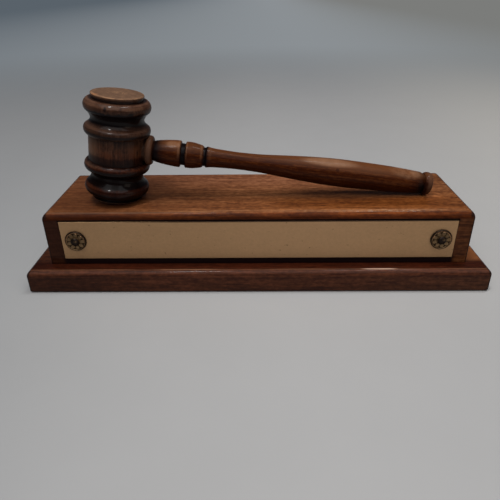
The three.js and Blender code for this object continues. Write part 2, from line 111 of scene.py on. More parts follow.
CLIP_START = 10 * MM
CLIP_END = 100
SIDES = ("left", "right")
WHITE = (1, 1, 1)

# Dirt, painted shade and dull metal, as linear red, green and blue
JOINT_SHADE = (0.008, 0.003, 0.003)
CORNER_SHADE = (0.01, 0.005, 0.004)
EDGE_DIRT = (0.02, 0.005, 0.003)
SCUFF_DIRT = (0.02, 0.009, 0.006)
PORE_DIRT = (0.012, 0.006, 0.005)
PLATE_EDGE_SHADE = (0.02, 0.008, 0.004)
ROSETTE_SHADE_AND_PATINA = (0.012, 0.006, 0.004)
DULL_BRASS = (0.36, 0.22, 0.11)


def linear(share):
    """One sRGB channel, 0 to 1, as a linear value."""
    return share / 12.92 if share <= 0.04045 else ((share + 0.055) / 1.055) ** 2.4


def paint(written):
    """A colour written as #rrggbb, as linear red, green and blue."""
    return tuple(linear(int(written[at:at + 2], 16) / 255) for at in (1, 3, 5))


def size(name, about, millimetres):
    """A length that a user can change."""
    return place(name, about, millimetres, min=0)


def place(name, about, millimetres, **limits):
    """A place along an axis, which may lie on either side of the origin."""
    return FloatProperty(
        name=name, description=about, default=millimetres * MM, precision=4, unit="LENGTH", **limits
    )


def colour(name, about, written):
    """A colour that a user can change."""
    return FloatVectorProperty(
        name=name, description=about, default=paint(written), min=0, max=1, size=3, subtype="COLOR"
    )


def power(name, about, watts):
    """A lamp's power."""
    return FloatProperty(name=name, description=about, default=watts, min=0, unit="POWER")


def heading(name, about, way):
    """A direction."""
    return FloatVectorProperty(name=name, description=about, default=way, size=3, subtype="DIRECTION")


def angle(name, about, degrees):
    """An angle, kept in radians."""
    turn = math.radians(degrees)
    return FloatProperty(
        name=name, description=about, default=turn, precision=4, unit="ROTATION", subtype="ANGLE"
    )


class GavelHeadSizes(PropertyGroup):
    """Sizes of the turned head, alike at both ends."""

    length: size("Length", "From striking face to striking face", 67.6)
    face_radius: size("Face radius", "Radius of a striking face", 16.35)
    face_edge_round: size("Face edge round", "Rounding of a striking face's edge", 0.55)
    face_lip_height: size("Face lip height", "Height of the lip under a striking face", 1.35)
    face_undercut: size("Face undercut", "How far the disc steps in under its lip", 0.5)
    face_stand: size("Face stand", "Height of the striking disc above the end ring", 3.1)
    end_ring_radius: size("End ring radius", "Largest radius of an end ring", 20.85)
    end_ring_reach: size("End ring reach", "How far an end ring's rounding comes out", 4)
    end_ring_half_width: size("End ring half width", "Half of an end ring's width", 4.3)
    inner_ring_radius: size("Inner ring radius", "Largest radius of an inner ring", 20.95)
    inner_ring_reach: size("Inner ring reach", "How far an inner ring's rounding comes out", 2.8)
    inner_ring_half_width: size("Inner ring half width", "Half of an inner ring's width", 3.3)
    ring_spacing: size("Ring spacing", "From end ring to inner ring", 14.7)
    cove_radius: size("Cove radius", "Least radius between two rings", 16.75)
    barrel_radius: size("Barrel radius", "Radius of the barrel between the inner rings", 18.15)


class GavelHandleSizes(PropertyGroup):
    """Sizes of the turned handle, from the head outwards."""

    seat_gap: size("Seat gap", "Gap between the head and the collar", 0.3)
    stub_radius: size("Stub radius", "Radius of the end that is let into the head", 7.2)
    stub_start: size("Stub start", "Distance of that end from the head's axis", 12)
    collar_radius: size("Collar radius", "Radius of the collar beside the head", 9.6)
    collar_width: size("Collar width", "Width of the collar", 4.9)
    collar_back_round: size("Collar back round", "Rounding towards the head", 2.2)
    collar_front_round: size("Collar front round", "Rounding towards the grip", 2.4)
    neck_radius: size("Neck radius", "Radius of the black neck", 6.3)
    neck_width: size("Neck width", "Width of the black neck", 1.4)
    bulb_length: size("Bulb length", "Length of the bulb", 16.5)
    bulb_start_radius: size("Bulb start radius", "Radius of the bulb at the neck", 6.8)
    bulb_radius: size("Bulb radius", "Largest radius of the bulb", 8.65)
    bulb_end_round: size("Bulb end round", "Rounding of the bulb's far edge", 1)
    cove_ring_width: size("Cove ring width", "Width of the black cove after the bulb", 2.9)
    cove_ring_radius: size("Cove ring radius", "Radius of that cove", 7)
    bead_length: size("Bead length", "Length of the bead", 11.7)
    bead_radius: size("Bead radius", "Largest radius of the bead", 8.5)
    bead_end_radius: size("Bead end radius", "Radius of the bead at its small end", 7)
    bead_edge_round: size("Bead edge round", "Rounding of the bead's edges", 0.9)
    groove_width: size("Groove width", "Width of the groove before the grip", 2.2)
    groove_radius: size("Groove radius", "Radius of that groove", 6)
    grip_length: size("Grip length", "Length of the grip", 142.9)
    grip_throat_radius: size("Grip throat radius", "Radius of the grip at its start", 6.85)
    grip_waist_radius: size("Grip waist radius", "Least radius of the grip", 5.6)
    grip_swell_radius: size("Grip swell radius", "Largest radius of the grip", 9.13)
    grip_end_radius: size("Grip end radius", "Radius of the grip at its far end", 7.2)
    butt_groove_width: size("Butt groove width", "Width of the groove before the butt", 2.3)
    butt_groove_radius: size("Butt groove radius", "Radius of that groove", 6.6)
    butt_length: size("Butt length", "Length of the butt", 5.6)
    butt_radius: size("Butt radius", "Radius of the butt", 7.7)
    butt_face_radius: size("Butt face radius", "Radius of the butt's flat face", 6)


class StandSizes(PropertyGroup):
    """Roundings and small sizes of the stand; its boards take their lengths from the frame."""

    block_top_round: size("Block top round", "Rounding of the block's upper edge", 4.8)
    block_foot_round: size("Block foot round", "Rounding of the block's lower edge", 0.3)
    block_corner_round: size("Block corner round", "Rounding of the block's upright corners", 0.9)
    plinth_top_round: size("Plinth top round", "Rounding of the plinth's upper edge", 3.7)
    plinth_foot_round: size("Plinth foot round", "Rounding of the plinth's lower edge", 1.2)
    plinth_corner_round: size("Plinth corner round", "Rounding of the plinth's upright corners", 1.2)
    felt_edge_round: size("Felt edge round", "Rounding of the felt's edge", 0.25)
    felt_corner_round: size("Felt corner round", "Rounding of the felt's corners", 2)
    pocket_depth: size("Pocket depth", "Depth of the pocket for the plate", 0.8)
    pocket_side_gap: size("Pocket side gap", "Gap beside and under the plate", 0.4)
    pocket_top_gap: size("Pocket top gap", "Gap above the plate", 1.2)
    plate_bevel: size("Plate bevel", "Bevel of the plate's front edge", 0.14)
    plate_corner_round: size("Plate corner round", "Rounding of the plate's corners", 0.3)


class RosetteSizes(PropertyGroup):
    """Sizes of a rosette and of the pin that holds it."""

    radius: size("Radius", "Outer radius of the rosette", 7)
    flange: size("Flange", "Thickness of its edge", 0.5)
    rim_width: size("Rim width", "Width of the raised rim", 1.1)
    rim_height: size("Rim height", "Height of the raised rim", 1.2)
    dome_height: size("Dome height", "Height of the seat for the pin", 2)
    seat_radius: size("Seat radius", "Radius of that seat", 2.9)
    hollow_height: size("Hollow height", "Height of the hollow between rim and seat", 0.6)
    petal_place: size("Petal place", "From the middle of the rosette to the middle of a petal", 4.3)
    petal_length: size("Petal length", "Length of a petal", 3.3)
    petal_width: size("Petal width", "Width of a petal", 2.6)
    petal_rise: size("Petal rise", "Height of a petal above the hollow", 0.95)
    pin_head_radius: size("Pin head radius", "Radius of the pin's domed head", 2.65)
    pin_head_height: size("Pin head height", "Height of the pin's domed head", 1.2)
    pin_shank_radius: size("Pin shank radius", "Radius of the pin's shank", 0.8)
    pin_length: size("Pin length", "Length of the shank", 13)
    pin_point: size("Pin point", "Length of the pin's point", 2)


class GavelColours(PropertyGroup):
    """Colours of the finishes."""

    head_light: colour("Head light", "Worn walnut on the head", "#634534")
    head_brown: colour("Head brown", "Stained walnut on the head", "#42281b")
    head_dark: colour("Head dark", "Dark streaks on the head", "#25150e")
    face_tan: colour("Face tan", "Bare end grain of a striking face", "#654c3b")
    lacquer_black: colour("Lacquer black", "Black lacquer in coves and grooves", "#0b0506")
    handle_light: colour("Handle light", "Light grain on the handle", "#50280e")
    handle_brown: colour("Handle brown", "Middle grain on the handle", "#381504")
    handle_dark: colour("Handle dark", "Dark grain on the handle", "#2c1105")
    block_light: colour("Block light", "Light grain on the block", "#9e663f")
    block_brown: colour("Block brown", "Middle grain on the block", "#7e4c2b")
    block_dark: colour("Block dark", "Dark grain on the block", "#562f19")
    plinth_light: colour("Plinth light", "Light grain on the plinth", "#5a3220")
    plinth_brown: colour("Plinth brown", "Middle grain on the plinth", "#452517")
    plinth_dark: colour("Plinth dark", "Dark grain on the plinth", "#301810")
    # Thin lacquer on the handle, and also the colour of painted highlights on the handle and along the
    # boards' front edges.
    handle_wear_and_highlight: colour("Worn handle", "Handle where the lacquer is thin", "#90694e")
    # Also painted as light on the head's side away from the handle.
    worn_wood: colour("Worn wood", "Wood where the lacquer is rubbed off", "#a0795a")
    # The colour of a painted glint on the plinth's front edge.
    plinth_edge_glint: colour("Bare wood", "Wood polished bare on the plinth's edge", "#d8b9a2")
    plate_brass: colour("Plate brass", "Matte brass of the plate", "#bd956c")
    # The colour of painted highlights on the plate and on the rosettes' lips.
    plate_highlight: colour("Plate light", "Brighter brass right of the plate's middle", "#d3a981")
    rosette_brass: colour("Rosette brass", "Raised brass of the rosettes", "#8f7352")
    rosette_dirt: colour("Rosette dirt", "Dark patina in the rosettes' hollows", "#281a10")
    pin_brass: colour("Pin brass", "Darkened brass of the pins", "#241a15")
    screw_steel: colour("Screw steel", "Zinced steel of the screws", "#8f9091")
    felt_green: colour("Felt green", "Green felt under the plinth", "#24382a")


class StageSettings(PropertyGroup):
    """The floor, the light and the camera."""

    floor_colour: colour("Floor colour", "Colour of the floor", "#acabaa")
    floor_left: colour("Floor left", "Floor towards the dim left", "#4f565c")
    floor_warm: colour("Floor warm", "Floor towards the bright right", "#cbc6bc")
    floor_right: colour("Far floor right", "How the far floor shows at the right", "#7b7c7a")
    floor_reach: size("Floor reach", "Half of the floor's side", 14000)
    floor_far: colour("Far floor", "How the far floor shows behind the object", "#8c9195")
    floor_far_left: colour("Far floor left", "How it shows at the left", "#59626a")
    world_colour: colour("World colour", "Colour of the room round the stage", "#464950")
    ceiling_side: size("Ceiling side", "Side of the large soft panel overhead", 2400)
    ceiling_shift: place("Ceiling shift", "How far that panel hangs behind the object", -800)
    ceiling_height: size("Ceiling height", "Height of that panel", 1700)
    ceiling_power: power("Ceiling power", "Power of that panel", 27)
    strip_width: size("Strip width", "Width of the two strip lamps", 100)
    strip_length: size("Strip length", "Length of the two strip lamps, front to back", 330)
    right_strip: heading("Right strip", "Way from the object to the strip at the right", (0.27, 0.10, 0.95))
    right_power: power("Right strip power", "Power of that strip", 4)
    left_strip: heading("Left strip", "Way from the object to the strip at the left", (-0.15, -0.22, 0.96))
    left_power: power("Left strip power", "Power of that strip", 6)
    strip_distance: size("Strip distance", "Distance of the strips from the object", 1450)
    fill_side: size("Fill side", "Side of the square lamp at the right", 400)
    fill: heading("Fill", "Way from the object to the lamp at the right", (0.76, -0.54, 0.38))
    fill_distance: size("Fill distance", "Distance of that lamp", 900)
    fill_power: power("Fill power", "Power of that lamp", 0.5)
    fill_colour: colour("Fill colour", "Light of that lamp", "#fff0dc")
    camera_x: place("Camera x", "Place of the camera", -0.39)
    camera_y: place("Camera y", "Place of the camera", -323.70)
    camera_z: place("Camera z", "Place of the camera", 180.39)
    camera_pitch: angle("Camera pitch", "How far the camera looks down", 28.37)
    camera_yaw: angle("Camera yaw", "How far the camera looks to the right", -0.92)
    camera_roll: angle("Camera roll", "How far the camera is tilted", -0.70)
    camera_lens: FloatProperty(name="Camera lens", description="Focal length in millimetres", default=35.40)


class Level:
    """A number that varies over a surface. Arithmetic on it adds Math nodes."""

    def __init__(self, finish, socket):
        self.finish = finish
        self.socket = socket

    def joined(self, operation, *values):
        """Numbers through one Math node."""
        node = self.finish.node("ShaderNodeMath", {"operation": operation}, dict(enumerate(values)))
        return Level(self.finish, node.outputs[0])

    def __add__(self, other):
        return self.joined("ADD", self, other)

    def __radd__(self, other):
        return self.joined("ADD", other, self)

    def __sub__(self, other):
        return self.joined("SUBTRACT", self, other)

    def __rsub__(self, other):
        return self.joined("SUBTRACT", other, self)

    def __mul__(self, other):
        return self.joined("MULTIPLY", self, other)

    def __truediv__(self, other):
        return self.joined("DIVIDE", self, other)

    def __abs__(self):
        return self.joined("ABSOLUTE", self)

    def capped(self, most):
        """The lesser of this number and another."""
        return self.joined("MINIMUM", self, most)

    def floored(self, least):
        """The greater of this number and another."""
        return self.joined("MAXIMUM", self, least)

    def step(self, start, end):
        """0 before start, 1 after end, smooth between them; end may lie below start."""
        node = self.finish.node(
            "ShaderNodeMapRange",
            {"interpolation_type": "SMOOTHSTEP"},
            {"Value": self, "From Min": start, "From Max": end, "To Min": 0.0, "To Max": 1.0},
        )
        return Level(self.finish, node.outputs[0])

    def band(self, low, high, soft):
        """1 between low and high, fading out over soft at either side."""
        return self.step(low - soft, low) * self.step(high + soft, high)


class Finish:
    """One procedural material and the nodes that feed its principled surface.

    at is the place on the surface in millimetres, and skin is the colour that has been laid so far.
    """

    def __init__(self, name, **surface):
        self.material = bpy.data.materials.new(name)
        self.material.use_nodes = True
        self.tree = self.material.node_tree
        self.surface = self.tree.nodes["Principled BSDF"]
        self.at = None
        self.skin = None
        self.set(**surface)

    def feed(self, entry, value):
        """Links a level or a socket to an input, or sets the input's own value."""
        if isinstance(value, Level):
            value = value.socket
        if isinstance(value, bpy.types.NodeSocket):
            self.tree.links.new(value, entry)
        else:
            entry.default_value = value

    def node(self, kind, settings=None, sockets=None):
        """A node of any kind, with its settings made first and then its sockets."""
        made = self.tree.nodes.new(kind)
        for setting, value in (settings or {}).items():
            setattr(made, setting, value)
        for entry, value in (sockets or {}).items():
            self.feed(made.inputs[entry], value)
        return made

    def set(self, **surface):
        """Feeds the surface, with words for its inputs such as base_color."""
        for word, value in surface.items():
            self.feed(self.surface.inputs[word.replace("_", " ").title().replace("Ior", "IOR")], value)

    def finished(self, **surface):
        """Feeds the surface its colour and what else is given."""
        self.set(base_color=self.skin, **surface)
        return self

    def level(self, node, output=0):
        """An output of a node as a number for arithmetic."""
        return Level(self, node.outputs[output])

    def local(self, origin=(0, 0, 0), turn=None):
        """Measures places in millimetres from an origin, along the axes of a turn."""
        coordinates = self.node("ShaderNodeTexCoord").outputs["Object"]
        angles = turn.to_euler() if turn else (0, 0, 0)
        self.at = self.node(
            "ShaderNodeMapping",
            {"vector_type": "TEXTURE"},
            {"Vector": coordinates, "Location": origin, "Rotation": angles, "Scale": (MM, MM, MM)},
        ).outputs[0]

    def axes(self):
        """The place on the surface as three numbers."""
        node = self.node("ShaderNodeSeparateXYZ", None, {0: self.at})
        return tuple(self.level(node, part) for part in range(3))

    def joined(self, operation, *vectors):
        """Vectors through one Vector Math node, as its outputs."""
        return self.node("ShaderNodeVectorMath", {"operation": operation}, dict(enumerate(vectors))).outputs

    def scaled(self, vector, factors):
        """A vector with each part multiplied by its own factor."""
        return self.joined("MULTIPLY", vector, factors)[0]

    def shifted(self, vector, other):
        """The sum of two vectors."""
        return self.joined("ADD", vector, other)[0]

    def distance(self, factors, centre=(0, 0, 0), vector=None):
        """How far the surface or a vector is from a place, with each axis multiplied by its own factor."""
        vector = self.at if vector is None else vector
        offset = self.shifted(vector, tuple(-part for part in centre))
        return Level(self, self.joined("LENGTH", self.scaled(offset, factors))["Value"])

    def noise_node(self, factors, detail, rough, shift):
        """Noise whose scale per millimetre is given for each axis, as a node."""
        return self.node("ShaderNodeTexNoise", {"noise_dimensions": "4D"}, {
            "Vector": self.scaled(self.at, factors),
            "W": shift,
            "Scale": 1.0,
            "Detail": detail,
            "Roughness": rough,
        })

    def noise(self, factors, detail, rough, shift):
        """The same noise as a number from 0 to 1."""
        return self.level(self.noise_node(factors, detail, rough, shift))

    def noise_along(self, place, detail=2.0, rough=0.5):
        """Noise from 0 to 1 along a number."""
        sockets = {"W": place, "Scale": 1.0, "Detail": detail, "Roughness": rough}
        return self.level(self.node("ShaderNodeTexNoise", {"noise_dimensions": "1D"}, sockets))

    def bent(self, factors, reach, shift):
        """The place on the surface pushed about by slow noise, up to a reach for each axis."""
        pushes = self.noise_node(factors, 2.0, 0.5, shift).outputs[1]
        return self.shifted(self.at, self.scaled(self.shifted(pushes, (-0.5, -0.5, -0.5)), reach))

    def ramp(self, level, stops):
        """A colour ramp at a level, through stops that are each a position and a colour."""
        node = self.node("ShaderNodeValToRGB", None, {0: level})
        elements = node.color_ramp.elements
        while len(elements) < len(stops):
            elements.new(1)
        for element, (position, tone) in zip(elements, stops):
            element.position = position
            element.color = (*tone, 1)
        return node.outputs[0]

    def zoned(self, level, marks):
        """A number that follows marks, each a place on a level and a value from 0 to 1."""
        first, last = marks[0][0], marks[-1][0]
        stops = [((mark - first) / (last - first), (value, value, value)) for mark, value in marks]
        return Level(self, self.ramp((level - first) / (last - first), stops))

    def mixed(self, factor, first, second, blend="MIX"):
        """Two colours mixed by a factor."""
        node = self.node("ShaderNodeMix", {"data_type": "RGBA", "blend_type": blend}, {0: factor})
        for entry, value in ((6, first), (7, second)):
            if not isinstance(value, bpy.types.NodeSocket):
                value = (*value, 1)
            self.feed(node.inputs[entry], value)
        return node.outputs[2]

    def lay(self, factor, tone):
        """Lays a colour over the colour so far."""
        self.skin = self.mixed(factor, self.skin, tone)

    def tint(self, factor, factors):
        """Multiplies the colour so far by factors for red, green and blue."""
        self.skin = self.mixed(factor, self.skin, factors, blend="MULTIPLY")

    def spot(self, centre, reach):
        """1 at a place and 0 past a reach, which is given for each axis."""
        return self.distance(tuple(1 / part for part in reach), centre).step(1.0, SPOT_CORE)

    def bump(self, height, strength, distance):
        """A bumped normal from a height, with the distance in millimetres."""
        sockets = {"Height": height, "Strength": strength, "Distance": distance * MM}
        return self.node("ShaderNodeBump", None, sockets).outputs[0]


class Room(Finish):
    """The world round the stage and the nodes that feed its background."""

    def __init__(self, name):
        self.world = bpy.data.worlds.new(name)
        self.world.use_nodes = True
        self.tree = self.world.node_tree
        self.surface = self.tree.nodes["Background"]


# Noises for the grain's fibre, hair, fleck and pores.
# Each has its scales per millimetre along and across the grain, its detail, its roughness and its shift.
GRAIN_NOISES = (
    (0.04, 0.6, 4.0, 0.7, 3),
    (0.05, 2.2, 2.0, 0.6, 5),
    (0.28, 0.8, 3.0, 0.6, 9),
    (0.12, 2.4, 2.0, 0.5, 11),
)


def grain(finish, tones, ring_pitch, pith, fineness, shift):
    """Lays walnut grain along the frame's first axis and returns its fibre and its pores.

    tones are the light, middle and dark colours; pith is where the rings' centre lies across the grain.
    """
    light, brown, dark = tones
    bent = finish.bent((0.006, 0.02, 0.02), (0, 8, 8), shift)
    radius = finish.distance((0, 1, 1), (0, *pith), bent)
    rings = finish.noise_along(radius / ring_pitch + shift, 4.0, 0.7)
    fibre, hair, fleck, pores = (
        finish.noise((along, across * fineness, across * fineness), detail, rough, shift + own_shift)
        for along, across, detail, rough, own_shift in GRAIN_NOISES
    )
    cloud = finish.noise((0.012, 0.04, 0.04), 2.0, 0.5, shift + 7)
    tone = rings * 0.35 + fibre * 0.7 + fleck * 0.55 + hair * 0.25 + cloud * 0.35 - 0.6
    finish.skin = finish.ramp(tone, ((0.34, dark), (0.5, brown), (0.66, light)))
    pores = pores.step(0.58, 0.68)
    finish.lay(pores * 0.45, dark)
    return fibre, pores


def spline(points, steps):
    """Points along a smooth curve through the given ones, steps to each stretch."""
    padded = [2 * points[0] - points[1], *points, 2 * points[-1] - points[-2]]
    curve = []
    for before, start, end, after in zip(padded, padded[1:], padded[2:], padded[3:]):
        for step in range(steps):
            t = step / steps
            lean = (end - before) * t + (2 * before - 5 * start + 4 * end - after) * t ** 2
            swing = (3 * start - before - 3 * end + after) * t ** 3
            curve.append(start + (lean + swing) / 2)
    curve.append(points[-1])
    return curve


def arc(centre, reach, start, end, steps):
    """Points of an ellipse arc with the angles in degrees."""
    points = []
    for step in range(steps + 1):
        turn = math.radians(start + (end - start) * step / steps)
        x = centre[0] + reach[0] * math.cos(turn)
        y = centre[1] + reach[1] * math.sin(turn)
        points.append(Vector((x, y)))
    return points


def upper_round(radius, height, edge, steps=EDGE_STEPS):
    """The rounding where an outline that rises at a radius turns in at a height."""
    return arc((radius - edge, height - edge), (edge, edge), 0, 90, steps)


def lower_round(radius, height, edge, steps=EDGE_STEPS):
    """The rounding where an outline that comes out at a height turns up at a radius."""
    return arc((radius - edge, height + edge), (edge, edge), -90, 0, steps)


def between(first, second, amount):
    """The value at a share of the way from one number to another."""
    return first + (second - first) * amount


def shaped(shares, start_radius, end_radius, start, length):
    """Points along a length, for shares that are each a way along it and a way between two radii."""
    return [
        Vector((between(start_radius, end_radius, amount), start + run * length))
        for run, amount in shares
    ]


# The depth of the cove between two rings, the swell of the bulb and the fall of the bead.
# Each is written as shares of its length and of its depth, swell or fall.
COVE_SHAPE = ((0.06, 0.21), (0.16, 0.59), (0.29, 0.89), (0.43, 1), (0.55, 0.97), (0.68, 0.81), (0.85, 0.48))
BULB_SHAPE = ((0, 0), (0.2, 0.36), (0.4, 0.62), (0.6, 0.82), (0.8, 0.96))
BEAD_SHAPE = ((0.35, 0.03), (0.55, 0.24), (0.75, 0.56), (0.9, 0.84))

# Where the grip is slimmest and thickest, and how it falls, rises and closes in, as such shares.
GRIP_WAIST = 0.154
GRIP_SWELL = 0.637
GRIP_FALL = ((0, 0), (0.16, 0.45), (0.4, 0.72), (0.7, 0.92))
GRIP_RISE = ((0, 0), (0.19, 0.1), (0.385, 0.39), (0.58, 0.68), (0.77, 0.9), (0.88, 0.975))
GRIP_CLOSE = ((0, 0), (0.22, 0.06), (0.48, 0.21), (0.74, 0.5), (1, 1))


def ring(sizes, name, height, start, end):
    """The rounded outside of a ring of the head, with the angles in degrees."""
    radius, reach, half_width = (
        getattr(sizes, name + part) for part in ("_ring_radius", "_ring_reach", "_ring_half_width")
    )
    return arc((radius - reach, height), (reach, half_width), start, end, RING_STEPS)


def head_outline(sizes):
    """The head's outline as (radius, height), from one face's centre to the other's."""
    half = sizes.length / 2
    end_height = half - sizes.face_stand - sizes.end_ring_half_width
    inner_height = end_height - sizes.ring_spacing
    inner_ring = ring(sizes, "inner", inner_height, -90, 40)
    end_ring = ring(sizes, "end", end_height, -35, 90)
    cove = [inner_ring[-1]]
    for run, depth in COVE_SHAPE:
        chord = inner_ring[-1].lerp(end_ring[0], run)
        cove.append(Vector((between(chord.x, sizes.cove_radius, depth), chord.y)))
    cove.append(end_ring[0])
    disc = sizes.face_radius - sizes.face_undercut
    upper = [
        *inner_ring[:-1],
        *spline(cove, COVE_STEPS),
        *end_ring[1:],
        Vector((disc, half - sizes.face_stand)),
        Vector((disc, half - sizes.face_lip_height - sizes.face_undercut)),
        Vector((sizes.face_radius, half - sizes.face_lip_height)),
        *upper_round(sizes.face_radius, half, sizes.face_edge_round),
        Vector((sizes.face_radius * FACE_FLAT, half)),
        Vector((0, half)),
    ]
    lower = [Vector((at.x, -at.y)) for at in reversed(upper)]
    return [*lower, Vector((sizes.barrel_radius, 0)), *upper]


def handle_marks(sizes, barrel_radius):
    """Where the handle's parts start and end, as distances from the head's axis."""
    stretches = {
        "collar": sizes.seat_gap,
        "collar_end": sizes.collar_width,
        "bulb": sizes.neck_width,
        "bulb_end": sizes.bulb_length,
        "bead": sizes.cove_ring_width,
        "bead_end": sizes.bead_length,
        "grip": sizes.groove_width,
        "grip_end": sizes.grip_length,
        "butt": sizes.butt_groove_width,
        "end": sizes.butt_length,
    }
    marks = {}
    reached = barrel_radius
    for name, stretch in stretches.items():
        reached += stretch
        marks[name] = reached
    return marks


def grip_outline(sizes, start):
    """The long grip: a throat, a slim waist, a swell towards the hand's end and a slight fall."""
    stretches = (
        (0, GRIP_WAIST, sizes.grip_throat_radius, sizes.grip_waist_radius, GRIP_FALL),
        (GRIP_WAIST, GRIP_SWELL, sizes.grip_waist_radius, sizes.grip_swell_radius, GRIP_RISE),
        (GRIP_SWELL, 1, sizes.grip_swell_radius, sizes.grip_end_radius, GRIP_CLOSE),
    )
    knots = []
    for first, last, start_radius, end_radius, shares in stretches:
        stretch_start = start + first * sizes.grip_length
        knots += shaped(shares, start_radius, end_radius, stretch_start, (last - first) * sizes.grip_length)
    return spline(knots, GRIP_STEPS)


def handle_outline(sizes, marks):
    """The handle's outline as (radius, distance from the head's axis)."""
    collar_end, bulb_end, bead_end = marks["collar_end"], marks["bulb_end"], marks["bead_end"]
    edge, end_round = sizes.bead_edge_round, sizes.bulb_end_round
    bulb = [
        *shaped(BULB_SHAPE, sizes.bulb_start_radius, sizes.bulb_radius, marks["bulb"], sizes.bulb_length),
        Vector((sizes.bulb_radius, bulb_end - end_round)),
    ]
    bead = [
        Vector((sizes.bead_radius, marks["bead"] + edge)),
        *shaped(BEAD_SHAPE, sizes.bead_radius, sizes.bead_end_radius, marks["bead"], sizes.bead_length),
        Vector((sizes.bead_end_radius, bead_end - edge)),
    ]
    butt_half = sizes.butt_length / 2
    butt_reach = (sizes.butt_radius - sizes.butt_face_radius, butt_half)
    return [
        Vector((0, sizes.stub_start)),
        Vector((sizes.stub_radius, sizes.stub_start)),
        Vector((sizes.stub_radius, marks["collar"])),
        *lower_round(sizes.collar_radius, marks["collar"], sizes.collar_back_round, ROUND_STEPS),
        *upper_round(sizes.collar_radius, collar_end, sizes.collar_front_round, ROUND_STEPS),
        Vector((sizes.neck_radius, collar_end)),
        *spline(bulb, SWELL_STEPS)[:-1],
        *upper_round(sizes.bulb_radius, bulb_end, end_round),
        Vector((sizes.cove_ring_radius, bulb_end + sizes.seat_gap)),
        Vector((sizes.cove_ring_radius, marks["bead"] - sizes.seat_gap)),
        *lower_round(sizes.bead_radius, marks["bead"], edge)[:-1],
        *spline(bead, SWELL_STEPS)[:-1],
        *upper_round(sizes.bead_end_radius, bead_end, edge),
        Vector((sizes.groove_radius, bead_end + sizes.groove_width / 2)),
        *grip_outline(sizes, marks["grip"]),
        Vector((sizes.butt_groove_radius, marks["grip_end"] + sizes.butt_groove_width / 2)),
        *arc((sizes.butt_face_radius, marks["butt"] + butt_half), butt_reach, -90, 90, BUTT_STEPS),
        Vector((0, marks["end"])),
    ]


def rosette_outline(sizes):
    """A rosette's outline as (radius, height): flange, raised rim, hollow and seat."""
    rim = sizes.rim_width / 2
    hollow_start = sizes.radius - sizes.rim_width - SEAT_ROUND
    hollow_end = sizes.seat_radius + SEAT_SLOPE * (sizes.dome_height - sizes.hollow_height)
    return [
        Vector((0, 0)),
        Vector((sizes.radius, 0)),
        *arc((sizes.radius - rim, sizes.flange), (rim, sizes.rim_height - sizes.flange), 0, 180, RIM_STEPS),
        Vector((hollow_start, sizes.hollow_height)),
        Vector((hollow_end, sizes.hollow_height)),
        *upper_round(sizes.seat_radius, sizes.dome_height, SEAT_ROUND, FOOT_STEPS),
        Vector((0, sizes.dome_height)),
    ]


def pin_outline(sizes):
    """A pin's outline as (radius, height), from its point to the crown of its head."""
    return [
        Vector((0, -sizes.pin_length)),
        Vector((sizes.pin_shank_radius, sizes.pin_point - sizes.pin_length)),
        Vector((sizes.pin_shank_radius, 0)),
        *arc((0, 0), (sizes.pin_head_radius, sizes.pin_head_height), 0, CROWN_DEGREES, CROWN_STEPS),
        Vector((0, sizes.pin_head_height)),
    ]


def new_piece(name, add, **options):
    """Adds a primitive with nothing else selected, names it and opens it for editing."""
    bpy.ops.object.select_all(action="DESELECT")
    add(**options)
    piece = bpy.context.object
    piece.name = name
    piece.data.name = name
    bpy.ops.object.mode_set(mode="EDIT")
    return piece


def closed(piece):
    """Welds what lies together, turns all faces outward and ends the editing of a piece."""
    bpy.ops.mesh.select_all(action="SELECT")
    bpy.ops.mesh.remove_doubles(threshold=WELD_DISTANCE)
    bpy.ops.mesh.normals_make_consistent(inside=False)
    bpy.ops.object.mode_set(mode="OBJECT")
    return piece


def extruded(offset):
    """Extrudes what is selected by a way upward."""
    bpy.ops.mesh.extrude_region_move(TRANSFORM_OT_translate={"value": (0, 0, offset)})


def only(piece):
    """Selects one piece alone."""
    if bpy.context.object and bpy.context.object.mode != "OBJECT":
        bpy.ops.object.mode_set(mode="OBJECT")
    bpy.ops.object.select_all(action="DESELECT")
    piece.select_set(True)
    bpy.context.view_layer.objects.active = piece


def modify(piece, kind, **settings):
    """Adds a modifier and applies it."""
    only(piece)
    modifier = piece.modifiers.new(kind.title(), kind)
    for setting, value in settings.items():
        setattr(modifier, setting, value)
    bpy.ops.object.modifier_apply(modifier=modifier.name)


def combine(piece, other, operation):
    """Adds another piece to a piece or cuts it out, and removes it."""
    modify(piece, "BOOLEAN", object=other, operation=operation, solver="EXACT")
    bpy.data.objects.remove(other)


def set_down(piece, matrix):
    """Puts a piece in place and leaves its object at the origin, unturned and unscaled."""
    only(piece)
    piece.matrix_world = matrix @ piece.matrix_world
    bpy.ops.object.transform_apply(location=True, rotation=True, scale=True)


def smoothed(piece, degrees, weighted=True):
    """Shades a piece smooth, with its flat faces kept flat to the eye."""
    only(piece)
    bpy.ops.object.shade_smooth_by_angle(angle=math.radians(degrees))
    if weighted:
        modify(piece, "WEIGHTED_NORMAL", keep_sharp=True)


def turn_piece(name, outline, steps):
    """Turns an outline of (radius, height) about +Z, as on a lathe."""
    piece = new_piece(name, bpy.ops.mesh.primitive_plane_add, size=MM)
    bpy.ops.mesh.merge(type="CENTER")
    bpy.ops.transform.translate(value=(outline[0].x, 0, outline[0].y))
    for here, there in zip(outline, outline[1:]):
        move = there - here
        bpy.ops.mesh.extrude_vertices_move(TRANSFORM_OT_translate={"value": (move.x, 0, move.y)})
    bpy.ops.mesh.select_all(action="SELECT")
    bpy.ops.mesh.spin(steps=steps, angle=FULL_TURN, center=(0, 0, 0), axis=(0, 0, 1))
    return closed(piece)


